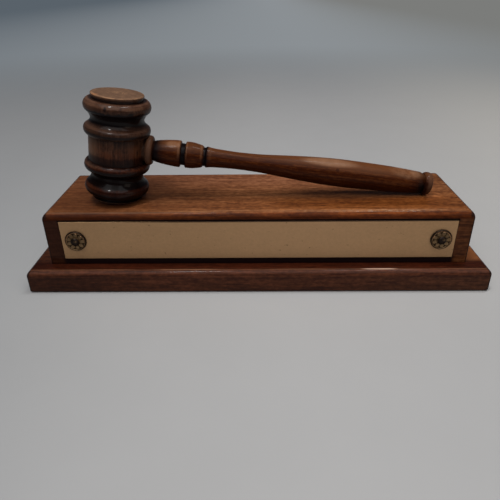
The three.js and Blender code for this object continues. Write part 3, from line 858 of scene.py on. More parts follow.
def raise_board(name, span, top_round, foot_round, corner_round):
    """A board that stands on z = 0, its outline raised ring by ring round its edges."""
    length, depth, height = span
    piece = new_piece(name, bpy.ops.mesh.primitive_plane_add, size=1)
    bpy.ops.transform.resize(value=(length, depth, 1), center_override=(0, 0, 0))
    bpy.ops.mesh.bevel(offset=corner_round, segments=ROUND_STEPS, affect="VERTICES")
    rings = lower_round(0, 0, foot_round, FOOT_STEPS) + upper_round(0, height, top_round, ROUND_STEPS)
    outward, level = 0, 0
    for next_outward, next_level in rings:
        if next_level > level:
            extruded(next_level - level)
        grow_x = (length + 2 * next_outward) / (length + 2 * outward)
        grow_y = (depth + 2 * next_outward) / (depth + 2 * outward)
        bpy.ops.transform.resize(value=(grow_x, grow_y, 1), center_override=(0, 0, next_level))
        outward, level = next_outward, next_level
    return closed(piece)


def node_box(name):
    """The middle, the size and the lowest corner of a CAD node."""
    low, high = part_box(name)
    return (low + high) / 2, high - low, low


def set_board(name, node, top_round, foot_round, corner_round):
    """Raises a board as large as a CAD node, in that node's place."""
    middle, span, low = node_box(node)
    board = raise_board(name, span, top_round, foot_round, corner_round)
    set_down(board, Matrix.Translation((middle.x, middle.y, low.z)))
    return board


def facing_front(at):
    """A matrix that turns +Z to the front and moves the origin to a place."""
    return Matrix.Translation(at) @ Matrix.Rotation(QUARTER_TURN, 4, "X")


def gavel_frame():
    """The head's middle and the gavel's own axes: along the handle, to its far side and up the head."""
    centre = node_box("gavel_head")[0]
    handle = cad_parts["gavel_handle"]
    reaches = {
        tuple(round(part, PLACE_DIGITS) for part in handle.matrix_world @ vertex.co - centre)
        for vertex in handle.data.vertices
    }
    reaches = [Vector(reach) for reach in sorted(reaches)]
    along = sum(reaches, Vector()).normalized()
    for margin in END_MARGINS:
        furthest = max(reach.dot(along) for reach in reaches)
        end = [reach for reach in reaches if reach.dot(along) > furthest - margin]
        along = sum(end, Vector()).normalized()
    up = (Vector((0, 0, 1)) - along * along.z).normalized()
    return centre, along, up.cross(along), up


def columns(first, second, third):
    """The turn whose axes are given."""
    return Matrix((first, second, third)).transposed()


def hand_over(piece, finish, body, node):
    """Gives a piece its material and its place in the frame."""
    piece.data.materials.clear()
    piece.data.materials.append(finish.material)
    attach(piece, body)
    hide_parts(node)


# How deep the black lacquer lies on the head, as (millimetres above or below its middle, depth).
UPPER_HEAD_LACQUER = (
    (0, 0.1), (3, 0.12), (6, 0.3), (9.6, 0.5), (10.4, 0.9), (11.3, 0.9), (12, 0.5), (13.2, 0.4), (14, 0.2),
    (14.9, 0.2), (15.5, 0.4), (16.4, 0.6), (17.4, 0.98), (25, 1), (25.7, 0.4), (27.3, 0.4), (28.2, 0.1),
    (30.5, 0.1), (30.7, 0.9), (31.4, 0.85), (31.9, 0.3), (33.8, 0.12),
)
# From the lower end ring's middle down to the face the black is partly painted shade, where the head stands
# on the block.
LOWER_HEAD_LACQUER = (
    (0, 0.1), (2.4, 0.25), (3.8, 0.75), (8.3, 0.93), (9.1, 0.5), (9.6, 0.25), (10.2, 0.3), (11, 0.7),
    (12, 0.97), (22.8, 0.97), (23.6, 0.5), (24.2, 0.45), (24.7, 0.65), (26.4, 0.65), (27.4, 0.97),
    (33.8, 1),
)


def head_finish(colours):
    """Stained walnut, black in the coves and rubbed bare on the rings and faces. Painted light makes it
    lighter on the side away from the handle, and it is redder and darker below, partly by painted shade.
    """
    centre, along, side, up = gavel_frame()
    finish = Finish("head_lacquered_walnut", specular_ior_level=0.05, coat_roughness=0.09, coat_ior=1.5)
    finish.local(centre, columns(up, along, side))
    height, toward_handle, to_back = finish.axes()
    tones = (colours.head_light, colours.head_brown, colours.head_dark)
    fibre, pores = grain(finish, tones, 1.7, (30, 44), 1.0, 2.0)
    radius = finish.distance((0, 1, 1))
    blotch = finish.noise((0.2, 0.22, 0.22), 3.0, 0.6, 5.0)
    comb = finish.noise((0.03, 0.6, 0.6), 2.0, 0.6, 9.0)
    ragged = (blotch - 0.5) * 1.6 + (comb - 0.5) * (height.step(16, 22) * 3 + 0.8)
    placed = height + ragged * height.step(30, 28.5)
    upper = finish.zoned(placed, UPPER_HEAD_LACQUER)
    depth = upper.floored(finish.zoned(placed * -1, LOWER_HEAD_LACQUER))
    on_face = (abs(height) - 33.3).step(0, 0.3)

    on_ring = abs(height).step(9, 11)
    finish.lay(on_ring * 0.5, colours.head_brown)
    # Painted light: lighter on the side away from the handle.
    finish.lay(toward_handle.step(-4, -16) * 0.7, colours.head_light)
    bare = depth.step(0.4, 0.1) * blotch.step(0.36, 0.6)
    finish.lay(bare * 0.55, colours.head_light)
    warm = height.band(-3, 4, 3) * blotch.step(0.4, 0.62)
    finish.lay(warm * 0.5, colours.handle_light)
    lathe = finish.noise((1.3, 0.02, 0.02), 2.0, 0.6, 13.0).step(0.42, 0.64)
    finish.lay(lathe * on_ring * 0.45, colours.head_dark)
    # More painted light on the barrel's side away from the handle.
    barrel_left = toward_handle.step(-6, -17) * height.band(-4, 8, 2)
    finish.lay(barrel_left * 0.18, colours.worn_wood)
    finish.lay(depth, colours.lacquer_black)
    runs = finish.noise((0.02, 0.55, 0.55), 3.0, 0.6, 20.0).step(0.48, 0.66)
    runs = runs * height.band(-6, 9, 3) * (height.step(-4, 7) * 0.6 + 0.2)
    finish.lay(runs * (toward_handle.band(-8, 9, 4) * 0.6 + 0.2), colours.lacquer_black)
    # Redder and darker below, partly painted shade.
    redder = height.step(8, -8) * toward_handle.step(-14, -2) * 0.8 + height.step(-9, -12)
    finish.tint(redder.capped(1), (0.78, 0.42, 0.26))
    nicks = finish.spot((27.7, -2.7, -20.4), (2.2, 1.2, 3)) + finish.spot((25.6, 11.8, -17), (1.2, 2.5, 3))
    finish.lay(nicks.capped(1) * 0.85, colours.lacquer_black)

    face_noise = finish.noise((0.3, 0.3, 0.3), 4.0, 0.65, 1.0)
    face_rings = finish.noise_along(finish.distance((0, 1, 1), (0, 34, 48)) * 0.9)
    face_tone = face_noise * 0.7 + face_rings * 0.3
    face_stops = ((0.15, colours.head_brown), (0.5, colours.face_tan), (0.95, colours.worn_wood))
    face = finish.ramp(face_tone, face_stops)
    rim = radius.band(14.9, 16.4, 0.7) * face_noise.step(0.34, 0.56) * (to_back.step(2, -12) * 0.5 + 0.1)
    face = finish.mixed(rim, face, colours.worn_wood)
    patch = finish.spot((33.8, -11.8, -10.5), (3, 3.2, 2.6))
    face = finish.mixed(patch * 0.5, face, colours.block_light)
    line = abs(finish.noise((0.5, 0.42, 0.42), 1.0, 0.5, 33.0) - 0.5).step(0.035, 0.01)
    scratch = line * finish.spot((33.8, 1, 2.6), (3, 7, 4.5))
    face = finish.mixed(scratch * 0.8, face, colours.worn_wood)
    finish.lay(on_face, face)

    lines = finish.noise((3.2, 0.02, 0.02), 1.0, 0.5, 3.0)
    relief = fibre * 0.5 - pores * 0.6 + lines * 0.25 - nicks * 2
    dulled = toward_handle.step(-2, -7) * 0.8 + toward_handle.band(1, 4, 1.5) * 0.5 + comb * 0.2
    gloss = 1 - height.step(-14, -18) * dulled
    return finish.finished(
        roughness=0.34 + fibre * 0.14 + on_face * 0.25,
        coat_weight=(1 - on_face) * (on_ring * 0.06 + 0.12) * gloss + 0.01,
        normal=finish.bump(relief, 0.35, 0.09),
    )


# How deep the black lacquer lies on the handle, as (millimetres from the head's axis, depth).
HANDLE_LACQUER = (
    (0, 1), (18, 0.6), (18.9, 0.25), (22.8, 0.3), (23.5, 0.6), (23.8, 1), (26, 0.95), (29, 0.45), (33, 0.1),
    (40, 0), (41, 0.3), (41.6, 1), (44.1, 1), (44.6, 0.3), (46, 0), (54.4, 0), (55.6, 0.4), (56.2, 1),
    (58, 1), (58.6, 0.3), (60.5, 0), (193, 0), (196, 0.25), (198.8, 0.7), (200.2, 1), (202.8, 1),
    (203.6, 0.75), (205, 0.4), (206.2, 0.15), (209, 0.12),
)


def handle_finish(colours):
    """Warm walnut with black lacquer in the neck and grooves, rubbed at the edges. Painted light makes it
    lighter on top and painted shade darker below and at the back, and painted highlights lie on the bulb
    and the swell.
    """
    centre, along, side, up = gavel_frame()
    finish = Finish("handle_lacquered_walnut", specular_ior_level=0.04, coat_roughness=0.15, coat_ior=1.5)
    finish.local(centre, columns(along, side, up))
    distance, to_back, height = finish.axes()
    tones = (colours.handle_light, colours.handle_brown, colours.handle_dark)
    fibre, pores = grain(finish, tones, 1.5, (26, 30), 1.15, 14.0)
    blotch = finish.noise((0.25, 0.3, 0.3), 3.0, 0.6, 4.0)
    depth = finish.zoned(distance + (blotch - 0.5) * 1.6, HANDLE_LACQUER)
    depth = depth * (1 - distance.step(190, 194) * height.step(-1, 5) * 0.6)

    # Painted light: lighter on top.
    finish.lay(height.step(2.5, 8) * 0.25, colours.block_light)
    # Painted shade: darker below, less so near the head.
    finish.lay(height.step(2, -7) * (0.6 - distance.step(85, 60) * 0.25), colours.handle_dark)
    finish.lay(height.step(3, 7) * distance.band(46, 53, 1) * 0.35, colours.handle_dark)
    # Painted shade: darker towards the back.
    finish.lay(to_back.step(1.5, 6) * 0.55, colours.handle_dark)
    # Lighter spots: painted highlights on the swell and the bulb, thin lacquer at the butt, and wear along
    # the edges of the bulb, the bead and the grip's start.
    thin = finish.spot((138, -4, 8), (23, 6, 3.6)) * (blotch * 0.8 + 0.4) * 0.8
    thin = thin + finish.spot((191, -3, 7), (15, 8, 5)) * blotch.step(0.25, 0.7) * 0.42
    thin = thin + finish.spot((196.5, -2, 6.5), (4.5, 5, 3.5)) * 0.3
    thin = thin + finish.spot((36, -4.5, 7.5), (6, 4, 3)) * (blotch * 0.5 + 0.18)
    edges = distance.band(39.8, 40.7, 0.8) + distance.band(44.6, 45.4, 0.3)
    edges = edges + distance.band(54.3, 55.2, 0.4) + distance.band(59.5, 60.5, 1) * 0.4
    thin = (thin + edges * height.step(-3, 5) * 0.22).capped(1)
    finish.lay(distance.step(24, 22) * 0.8 + distance.step(204.5, 206) * 0.5, colours.head_light)
    finish.lay(thin, colours.handle_wear_and_highlight)
    dents = finish.noise((0.3, 0.8, 0.8), 2.0, 0.5, 8.0).step(0.7, 0.76) * 0.6
    dents = dents + finish.spot((143.4, -8, 4.3), (1.6, 2, 1.2))
    dents = dents + finish.spot((50.3, -7, 4), (3.5, 3, 3)) * 0.4
    finish.lay(dents.capped(1) * 0.7, colours.handle_dark)
    finish.lay(depth, colours.lacquer_black)
    return finish.finished(
        roughness=0.36 + fibre * 0.14,
        coat_weight=0.06,
        normal=finish.bump(fibre * 0.5 - pores * 0.6 - dents, 0.35, 0.09),
    )


def board_surface(name, tones, node, edge_round, shift):
    """Walnut of one board: its finish, fibre and pores, and where the surface lies, in millimetres.

    The places are along and across the board, below its top, inward from its ends and, as a share, round
    its front edge. Half of the board's size comes last.
    """
    middle, span, _ = node_box(node)
    finish = Finish(name, specular_ior_level=0.05, coat_roughness=0.1, coat_ior=1.45)
    finish.local(middle)
    fibre, pores = grain(finish, tones, 2.3, (-46, -70), 0.62, shift)
    along, across, height = finish.axes()
    half = span / 2 / MM
    front = (across * -1 - (half.y - edge_round)) / edge_round
    return finish, fibre, pores, along, across, half.z - height, half.x - abs(along), front, half


# How strong the darkening is down the block's sides, stain and painted shade together, as (millimetres
# below its top, strength).
BLOCK_STAIN_AND_SHADE = ((0, 0), (0.6, 0.1), (1.1, 0.35), (1.7, 0.65), (2.4, 0.85), (3.2, 0.95), (4, 1), (7, 1))


def block_finish(colours, edge_round):
    """Orange walnut on top, darker down the sides by stain and painted shade, and rubbed along the front
    edge, with painted reflection, light, shadow and a painted highlight on its top and front edge.
    """
    tones = (colours.block_light, colours.block_brown, colours.block_dark)
    board = board_surface("block_walnut", tones, "stand_block", edge_round, 1.0)
    finish, fibre, pores, along, across, below, inward, front, half = board
    # Painted reflection: the top is more orange towards the front, and greyer and bluer towards the back
    # and under the handle.
    glow = along.step(-40, 70) * across.step(8, -22)
    finish.tint(glow * 0.45, (1, 0.8, 0.45))
    painted_sheen = across.step(-8, 24) * along.band(-120, 60, 30)
    finish.tint(painted_sheen * 0.55, (0.9, 0.95, 1.4))
    # Darker towards both ends; at the left, round the head, this is partly painted shade.
    dim = along.step(20, -120) * 0.3 + along.step(112, 134) * 0.38
    finish.tint(dim, (0.5, 0.55, 0.6))
    # Painted light: lighter under the handle's tail, where its shadow falls.
    painted_light_under_handle = finish.spot((96, -14, half.z), (40, 6, 8))
    finish.tint(painted_light_under_handle * 0.6, (1.75, 1.75, 1.75))
    # A painted shadow before the handle's rear half.
    painted_handle_shadow = along.band(25, 110, 30) * across.band(-26, -18, 8)
    finish.tint(painted_handle_shadow * 0.85, (0.62, 0.54, 0.37))
    # Darker towards the left, round the head, partly painted shade.
    finish.lay(along.step(-10, -110) * 0.55, colours.block_dark)

    # Darker down the sides, stain and painted shade together, and lighter towards the right end.
    stain = finish.zoned(below, BLOCK_STAIN_AND_SHADE)
    lighter = along.step(70, 132) * below.step(3, 6) * 0.68
    finish.tint(stain, finish.mixed(lighter, (0.22, 0.19, 0.24), (0.49, 0.47, 0.49)))
    edge_zone = below.band(1.2, 4.6, 0.6)
    finish.tint(edge_zone, (1.25, 0.9, 0.45))
    shade = below.step(2 * half.z - 7, 2 * half.z - 4) + below.band(4.9, 6.8, 0.3)
    finish.lay(shade.capped(1) * abs(along).step(131, 128), JOINT_SHADE)
    ends = inward.step(3.5, 2.1) * below.step(5, 3) + inward.band(0.35, 0.8, 0.3)
    finish.lay(ends.capped(1) * 0.9, CORNER_SHADE)

    streaky = finish.noise((0.03, 0.5, 0.7), 3.0, 0.6, 40.0).step(0.42, 0.62)
    upper = below.step(5, 3.5)
    # A painted highlight along the front edge's arris, broken by streaks.
    line = front - along.step(-10, -70) * 0.32 - along.band(15, 60, 12) * 0.1 - 0.06
    arris = line.band(0.02, 0.2, 0.1) * (streaky * 0.7 + 0.3) * upper
    finish.lay(arris * 0.45, colours.handle_wear_and_highlight)
    finish.lay(front.band(0.45, 0.9, 0.2) * streaky * upper * 0.5, EDGE_DIRT)
    chips = finish.noise((0.3, 0.6, 0.6), 4.0, 0.75, 32.0)
    reach = along.band(74, 101, 5) + along.band(30, 116, 8) * 0.4
    rubbed = chips.step(0.47, 0.55) * front.band(0.14, 0.42, 0.15) * reach.capped(1) * upper
    finish.lay(rubbed * 0.7, colours.worn_wood)
    scuffs = finish.noise((0.3, 0.9, 0.9), 3.0, 0.7, 50.0).step(0.62, 0.68)
    scuffs = scuffs * along.band(-40, 8, 10) * across.band(-17, -3, 4)
    finish.lay(scuffs * 0.6, SCUFF_DIRT)
    return finish.finished(
        roughness=0.42 + fibre * 0.16,
        coat_weight=0.1 - edge_zone * 0.06,
        normal=finish.bump(fibre * 0.6 - pores * 0.7 - rubbed * 2.5 - scuffs, 0.3, 0.1),
    )


def plinth_finish(colours, edge_round):
    """Darker, redder walnut with a nearly black red on the ledge before the block, partly painted shade,
    and a painted highlight along its front edge.
    """
    tones = (colours.plinth_light, colours.plinth_brown, colours.plinth_dark)
    board = board_surface("plinth_walnut", tones, "plinth", edge_round, 47.0)
    finish, fibre, pores, along, across, below, inward, front, _ = board
    # Darker and redder on the ledge before the block, partly painted shade where the block shades it.
    ledge = below.step(1.5, 0) * front.step(0.35, 0) * across.step(-33, -38)
    finish.tint(ledge * 0.85, (0.42, 0.22, 0.14))
    streaky = finish.noise((0.02, 0.5, 0.7), 3.0, 0.6, 44.0).step(0.4, 0.62)
    # A painted highlight along the front edge, brightest left of the middle and broken by streaks of wear,
    # with a painted glint right of the middle.
    line = front.band(0.04, 0.22, 0.08) * below.step(4, 2.5)
    worn = streaky * 0.25 + along.band(-60, -36, 12) * 0.3 + along.step(-130, -40) * 0.1
    finish.lay(line * worn, colours.handle_wear_and_highlight)
    finish.lay(line * along.band(74, 85, 8) * (streaky * 0.3 + 0.6), colours.plinth_edge_glint)
    finish.lay(along.step(115, 148) * across.step(-38, -30) * 0.9, colours.block_brown)
    flecks = finish.noise((0.22, 0.7, 0.9), 3.0, 0.65, 60.0).step(0.62, 0.7)
    finish.lay(flecks * 0.6, PORE_DIRT)
    finish.lay(along.step(-50, -150) * below.step(1.5, 5) * 0.45, colours.lacquer_black)
    finish.tint(along.step(20, 150) * below.step(3, 6) * 0.5, (1.05, 1.3, 1.35))
    ends = inward.step(2.8, 1.6) * below.step(4, 2) + inward.band(0.4, 1, 0.3)
    finish.lay(ends.capped(1) * 0.85, CORNER_SHADE)
    finish.tint(below.step(8, 12) * 0.5, (0.75, 0.75, 0.75))
    return finish.finished(
        roughness=0.42 + fibre * 0.16,
        coat_weight=0.12,
        normal=finish.bump(fibre * 0.6 - pores * 0.7 - flecks * 0.6, 0.3, 0.1),
    )


def brass_finish(colours):
    """Matte brushed brass with fine specks; it is left bare. It has a painted highlight right of its middle
    and painted shade along its top edge.
    """
    middle, span, _ = node_box("name_plate")
    finish = Finish("plate_brushed_brass", metallic=0.72)
    finish.local(middle)
    brush = finish.noise((0.05, 1, 9), 3.0, 0.6, 1.0)
    cloud = finish.noise((0.03, 0.1, 0.08), 3.0, 0.6, 2.0)
    speck = finish.noise((0.45, 0.5, 0.6), 2.0, 0.5, 3.0).step(0.68, 0.74)
    dust = finish.noise((0.6, 1, 0.7), 3.0, 0.7, 9.0)
    along, _, height = finish.axes()
    # A painted highlight right of the plate's middle.
    glow = along.band(15, 45, 60)
    top = span.z / MM / 2
    # Painted shade along the plate's top edge, under the pocket's upper side, fading out towards the left
    # end.
    dark_edges = height.step(top - 0.6, top - 0.3) * along.step(-110, -45)
    dulled = brush * 0.4 + cloud * 0.3 + dust * 1.2 - 0.6
    finish.skin = finish.mixed(dulled, colours.plate_brass, DULL_BRASS)
    finish.lay(glow * 0.12, colours.plate_highlight)
    finish.lay(speck * 0.55, colours.rosette_dirt)
    finish.lay(dark_edges * 0.9, PLATE_EDGE_SHADE)
    return finish.finished(
        roughness=0.4 + brush * 0.12 + cloud * 0.08,
        normal=finish.bump(brush, 0.12, 0.03),
    )


def rosette_finish(name, colours, middle, high):
    """Aged brass: bright where it stands out and dark in the hollows, with painted shade over its upper
    half and a painted highlight on its lip's upper side; nearly black round rim and pin, where patina and
    painted shade lie together.
    """
    finish = Finish(name, metallic=0.85)
    finish.local(middle)
    _, backward, upward = finish.axes()
    mottle = finish.noise((0.9, 0.9, 0.9), 4.0, 0.65, 6.0)
    radius = finish.distance((1, 0, 1))
    raised = (mottle * 0.3 - backward - 0.15).step(high - 0.95, high - 0.5)
    raised = raised.floored(radius.step(4, 3.5) * 0.7)
    shade = upward.step(-3, 4) * 0.25
    finish.skin = finish.mixed(raised * (0.68 - shade) + 0.12, colours.rosette_dirt, colours.rosette_brass)
    # A painted highlight on the lip's upper side.
    lip = radius.band(5.7, 6, 0.2) * (upward.step(-3, 3) * 0.8 + 0.2)
    finish.lay(lip * 0.8, colours.plate_highlight)
    # Nearly black round the rim and round the pin: patina there, with painted shade.
    dark_edges = radius.step(6.15, 6.4) + radius.step(3, 2.8)
    finish.lay(dark_edges * 0.9, ROSETTE_SHADE_AND_PATINA)
    return finish.finished(
        roughness=0.5 - raised * 0.14 + mottle * 0.1,
        normal=finish.bump(mottle, 0.25, 0.12),
    )


def pin_finish(name, colours, middle):
    """Brass gone nearly black, with a painted highlight on the crown."""
    finish = Finish(name, metallic=0.85)
    finish.local(middle)
    mottle = finish.noise((1.1, 1.1, 1.1), 3.0, 0.6, 2.0)
    # A painted highlight on the crown.
    glint = finish.spot((0.7, -1, 0.9), (1.2, 1.2, 1.1)) * mottle.step(0.3, 0.6)
    finish.skin = finish.mixed(glint * 0.55, colours.pin_brass, colours.rosette_brass)
    return finish.finished(roughness=0.34 + mottle * 0.2, normal=finish.bump(mottle, 0.3, 0.12))


def felt_finish(colours):
    """Short matted fibres, without any shine."""
    finish = Finish("felt_green", roughness=0.95, sheen_weight=0.35, sheen_roughness=0.6)
    finish.local(node_box("felt_pad")[0])
    nap = finish.noise((2.2, 2.2, 2.2), 4.0, 0.7, 1.0)
    lint = finish.noise((0.25, 0.25, 0.25), 3.0, 0.6, 2.0)
    dark = tuple(part * 0.45 for part in colours.felt_green)
    finish.skin = finish.ramp(nap * 0.7 + lint * 0.3, ((0.3, dark), (0.65, colours.felt_green)))
    return finish.finished(normal=finish.bump(nap, 0.7, 0.25))


def steel_finish(colours):
    """Zinced steel with turned lines."""
    finish = Finish("screw_steel", metallic=1.0)
    finish.local()
    lines = finish.noise((0.3, 0.3, 5), 2.0, 0.5, 1.0)
    stain = finish.noise((0.5, 0.5, 0.5), 3.0, 0.6, 2.0)
    dull = tuple(part * 0.6 for part in colours.screw_steel)
    finish.skin = finish.mixed(stain, dull, colours.screw_steel)
    return finish.finished(roughness=0.3 + stain * 0.2, normal=finish.bump(lines, 0.2, 0.05))


def cut_pocket(block, sizes):
    """Cuts the shallow pocket for the name plate into the block's front."""
    low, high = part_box("name_plate")
    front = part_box("stand_block")[0].y
    gap = sizes.pocket_side_gap
    pocket_low = Vector((low.x - gap, front - POCKET_OVERCUT, low.z - gap))
    pocket_high = Vector((high.x + gap, front + sizes.pocket_depth, high.z + sizes.pocket_top_gap))
    cutter = new_piece("plate_pocket", bpy.ops.mesh.primitive_cube_add, size=1)
    middle = Matrix.Translation((pocket_low + pocket_high) / 2)
    set_down(cutter, middle @ Matrix.Diagonal((*(pocket_high - pocket_low), 1)))
    combine(block, cutter, "DIFFERENCE")


# How a petal rises: shares of its height, and how much of its outline each leaves.
PETAL_RISES = ((0.5, 1), (0.3, 0.9), (0.15, 0.68), (0.05, 0.38))


def make_petals(sizes):
    """One rounded petal, copied round the rosette and joined to its copies."""
    round_plate = {"vertices": PETAL_SIDES, "radius": 0.5, "fill_type": "NGON"}
    petal = new_piece("petal", bpy.ops.mesh.primitive_circle_add, **round_plate)
    foot = sizes.hollow_height / 2
    bpy.ops.transform.resize(value=(sizes.petal_length, sizes.petal_width, 1), center_override=(0, 0, 0))
    bpy.ops.transform.translate(value=(sizes.petal_place, 0, foot))
    for share, scale in PETAL_RISES:
        extruded(share * (sizes.petal_rise + foot))
        bpy.ops.transform.resize(value=(scale, scale, 1), center_override=(sizes.petal_place, 0, 0))
    copies = [closed(petal)]
    for number in range(1, PETAL_COUNT):
        only(petal)
        bpy.ops.object.duplicate()
        copy = bpy.context.object
        copy.matrix_world = Matrix.Rotation(number * FULL_TURN / PETAL_COUNT, 4, "Z")
        copies.append(copy)
    only(petal)
    for copy in copies:
        copy.select_set(True)
    bpy.ops.object.join()
    return petal


class GAVEL_OT_head(Operator):
    """Turn the gavel's head"""

    bl_idname = "gavel.head"
    bl_label = "Head"

    def execute(self, context):
        scene = context.scene
        centre, along, side, up = gavel_frame()
        head = turn_piece("turned_head", head_outline(scene.gavel_head_sizes), HEAD_STEPS)
        set_down(head, Matrix.Translation(centre) @ columns(along, side, up).to_4x4())
        smoothed(head, ROUND_SMOOTH, weighted=False)
        hand_over(head, head_finish(scene.gavel_colours), "gavel", "gavel_head")
        return {"FINISHED"}


class GAVEL_OT_handle(Operator):
    """Turn the gavel's handle"""

    bl_idname = "gavel.handle"
    bl_label = "Handle"

    def execute(self, context):
        scene = context.scene
        centre, along, side, up = gavel_frame()
        sizes = scene.gavel_handle_sizes
        marks = handle_marks(sizes, scene.gavel_head_sizes.barrel_radius)
        handle = turn_piece("turned_handle", handle_outline(sizes, marks), HANDLE_STEPS)
        set_down(handle, Matrix.Translation(centre) @ columns(side, up, along).to_4x4())
        smoothed(handle, ROUND_SMOOTH, weighted=False)
        hand_over(handle, handle_finish(scene.gavel_colours), "gavel", "gavel_handle")
        return {"FINISHED"}


class GAVEL_OT_block(Operator):
    """Raise the upper block and cut the pocket for the plate"""

    bl_idname = "gavel.block"
    bl_label = "Upper block"

    def execute(self, context):
        scene = context.scene
        sizes = scene.gavel_stand_sizes
        rounds = (sizes.block_top_round, sizes.block_foot_round, sizes.block_corner_round)
        block = set_board("upper_block", "stand_block", *rounds)
        cut_pocket(block, sizes)
        smoothed(block, BOARD_SMOOTH)
        finish = block_finish(scene.gavel_colours, sizes.block_top_round / MM)
        hand_over(block, finish, "stand", "stand_block")
        return {"FINISHED"}


class GAVEL_OT_plinth(Operator):
    """Raise the plinth"""

    bl_idname = "gavel.plinth"
    bl_label = "Plinth"

    def execute(self, context):
        scene = context.scene
        sizes = scene.gavel_stand_sizes
        rounds = (sizes.plinth_top_round, sizes.plinth_foot_round, sizes.plinth_corner_round)
        plinth = set_board("lower_plinth", "plinth", *rounds)
        smoothed(plinth, BOARD_SMOOTH)
        finish = plinth_finish(scene.gavel_colours, sizes.plinth_top_round / MM)
        hand_over(plinth, finish, "stand", "plinth")
        return {"FINISHED"}


class GAVEL_OT_felt(Operator):
    """Lay the felt under the plinth"""

    bl_idname = "gavel.felt"
    bl_label = "Felt"

    def execute(self, context):
        scene = context.scene
        sizes = scene.gavel_stand_sizes
        rounds = (sizes.felt_edge_round, sizes.felt_edge_round, sizes.felt_corner_round)
        felt = set_board("felt_base", "felt_pad", *rounds)
        smoothed(felt, ROUND_SMOOTH)
        hand_over(felt, felt_finish(scene.gavel_colours), "stand", "felt_pad")
        return {"FINISHED"}


class GAVEL_OT_name_plate(Operator):
    """Raise the bare name plate"""

    bl_idname = "gavel.name_plate"
    bl_label = "Name plate"

    def execute(self, context):
        scene = context.scene
        sizes = scene.gavel_stand_sizes
        middle, span, low = node_box("name_plate")
        rounds = (sizes.plate_bevel, sizes.plate_bevel / 2, sizes.plate_corner_round)
        plate = raise_board("brass_plate", span.xzy, *rounds)
        set_down(plate, facing_front((middle.x, low.y + span.y, middle.z)))
        smoothed(plate, BOARD_SMOOTH)
        hand_over(plate, brass_finish(scene.gavel_colours), "stand", "name_plate")
        return {"FINISHED"}


class GAVEL_OT_rosettes(Operator):
    """Turn a rosette for each end of the plate and set petals on it"""

    bl_idname = "gavel.rosettes"
    bl_label = "Rosettes"

    def execute(self, context):
        scene = context.scene
        sizes = scene.gavel_rosette_sizes
        high = (sizes.hollow_height + sizes.petal_rise) / MM
        for side in SIDES:
            node = "rosette_" + side
            middle, span, low = node_box(node)
            back = Vector((middle.x, low.y + span.y, middle.z))
            rosette = turn_piece("petalled_" + node, rosette_outline(sizes), SMALL_STEPS)
            combine(rosette, make_petals(sizes), "UNION")
            set_down(rosette, facing_front(back))
            smoothed(rosette, SMALL_SMOOTH, weighted=False)
            finish = rosette_finish("aged_brass_" + side, scene.gavel_colours, back, high)
            hand_over(rosette, finish, "stand", node)
        return {"FINISHED"}


class GAVEL_OT_pins(Operator):
    """Turn the domed pins"""

    bl_idname = "gavel.pins"
    bl_label = "Pins"

    def execute(self, context):
        scene = context.scene
        sizes = scene.gavel_rosette_sizes
        for side in SIDES:
            node = "rosette_pin_" + side
            middle, _, low = node_box(node)
            seat = Vector((middle.x, low.y + sizes.pin_head_height, middle.z))
            pin = turn_piece("domed_" + node, pin_outline(sizes), SMALL_STEPS)
            set_down(pin, facing_front(seat))
            smoothed(pin, SMALL_SMOOTH, weighted=False)
            finish = pin_finish("aged_pin_brass_" + side, scene.gavel_colours, seat)
            hand_over(pin, finish, "stand", node)
        return {"FINISHED"}


class GAVEL_OT_screws(Operator):
    """Give the hidden screws their steel"""

    bl_idname = "gavel.screws"
    bl_label = "Screws"

    def execute(self, context):
        finish = steel_finish(context.scene.gavel_colours)
        for side in SIDES:
            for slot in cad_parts["base_screw_" + side].material_slots:
                slot.material = finish.material
        return {"FINISHED"}


def lay_floor(settings):
    """Lays the painted floor, which far from the object shows a tone of its own as a background. Painted
    falloff of light makes it darker and bluer to the left, brighter and warmer to the right and dimmer at
    the front corners.
    """
    floor = new_piece("floor", bpy.ops.mesh.primitive_plane_add, size=2 * settings.floor_reach)
    bpy.ops.mesh.subdivide(number_cuts=FLOOR_CUTS)
    bpy.ops.object.mode_set(mode="OBJECT")
    finish = Finish("floor_paint", roughness=0.75)
    finish.local()
    rightward, backward, _ = finish.axes()
    mottle = finish.noise((0.02, 0.02, 0.02), 3.0, 0.6, 1.0)
    dimmer = tuple(part * FLOOR_DIM for part in settings.floor_colour)
    finish.skin = finish.mixed(mottle, dimmer, settings.floor_colour)
    # Painted falloff of light: darker and bluer to the left, brighter and warmer to the right and dimmer at
    # the front corners.
    finish.lay(rightward.step(40, -300) * 0.3, settings.floor_left)
    finish.lay(rightward.step(80, 520) * 0.7, settings.floor_warm)
    corners = abs(rightward).step(60, 200) * backward.step(-40, -130)
    finish.lay(corners * 0.1, settings.floor_left)
    finish.finished()
    # The far tone is only seen, directly or in a reflection; it sheds no light on the object. It is painted
    # darker towards both sides, most to the left, like light that falls off.
    rays = finish.node("ShaderNodeLightPath")
    seen = finish.level(rays, "Is Camera Ray") + finish.level(rays, "Is Glossy Ray")
    seen = (seen + finish.level(rays, "Is Transmission Ray")).capped(1)
    far = finish.distance((1, 1, 0)).step(400, 1500)
    far_tone = finish.mixed(rightward.step(500, -2200), settings.floor_far, settings.floor_far_left)
    far_tone = finish.mixed(rightward.step(100, 1200), far_tone, settings.floor_right)
    glow = finish.node("ShaderNodeEmission", None, {0: far_tone})
    shaders = {0: far * seen, 1: finish.surface.outputs[0], 2: glow.outputs[0]}
    both = finish.node("ShaderNodeMixShader", None, shaders)
    finish.feed(finish.tree.nodes["Material Output"].inputs["Surface"], both.outputs[0])
    floor.data.materials.append(finish.material)


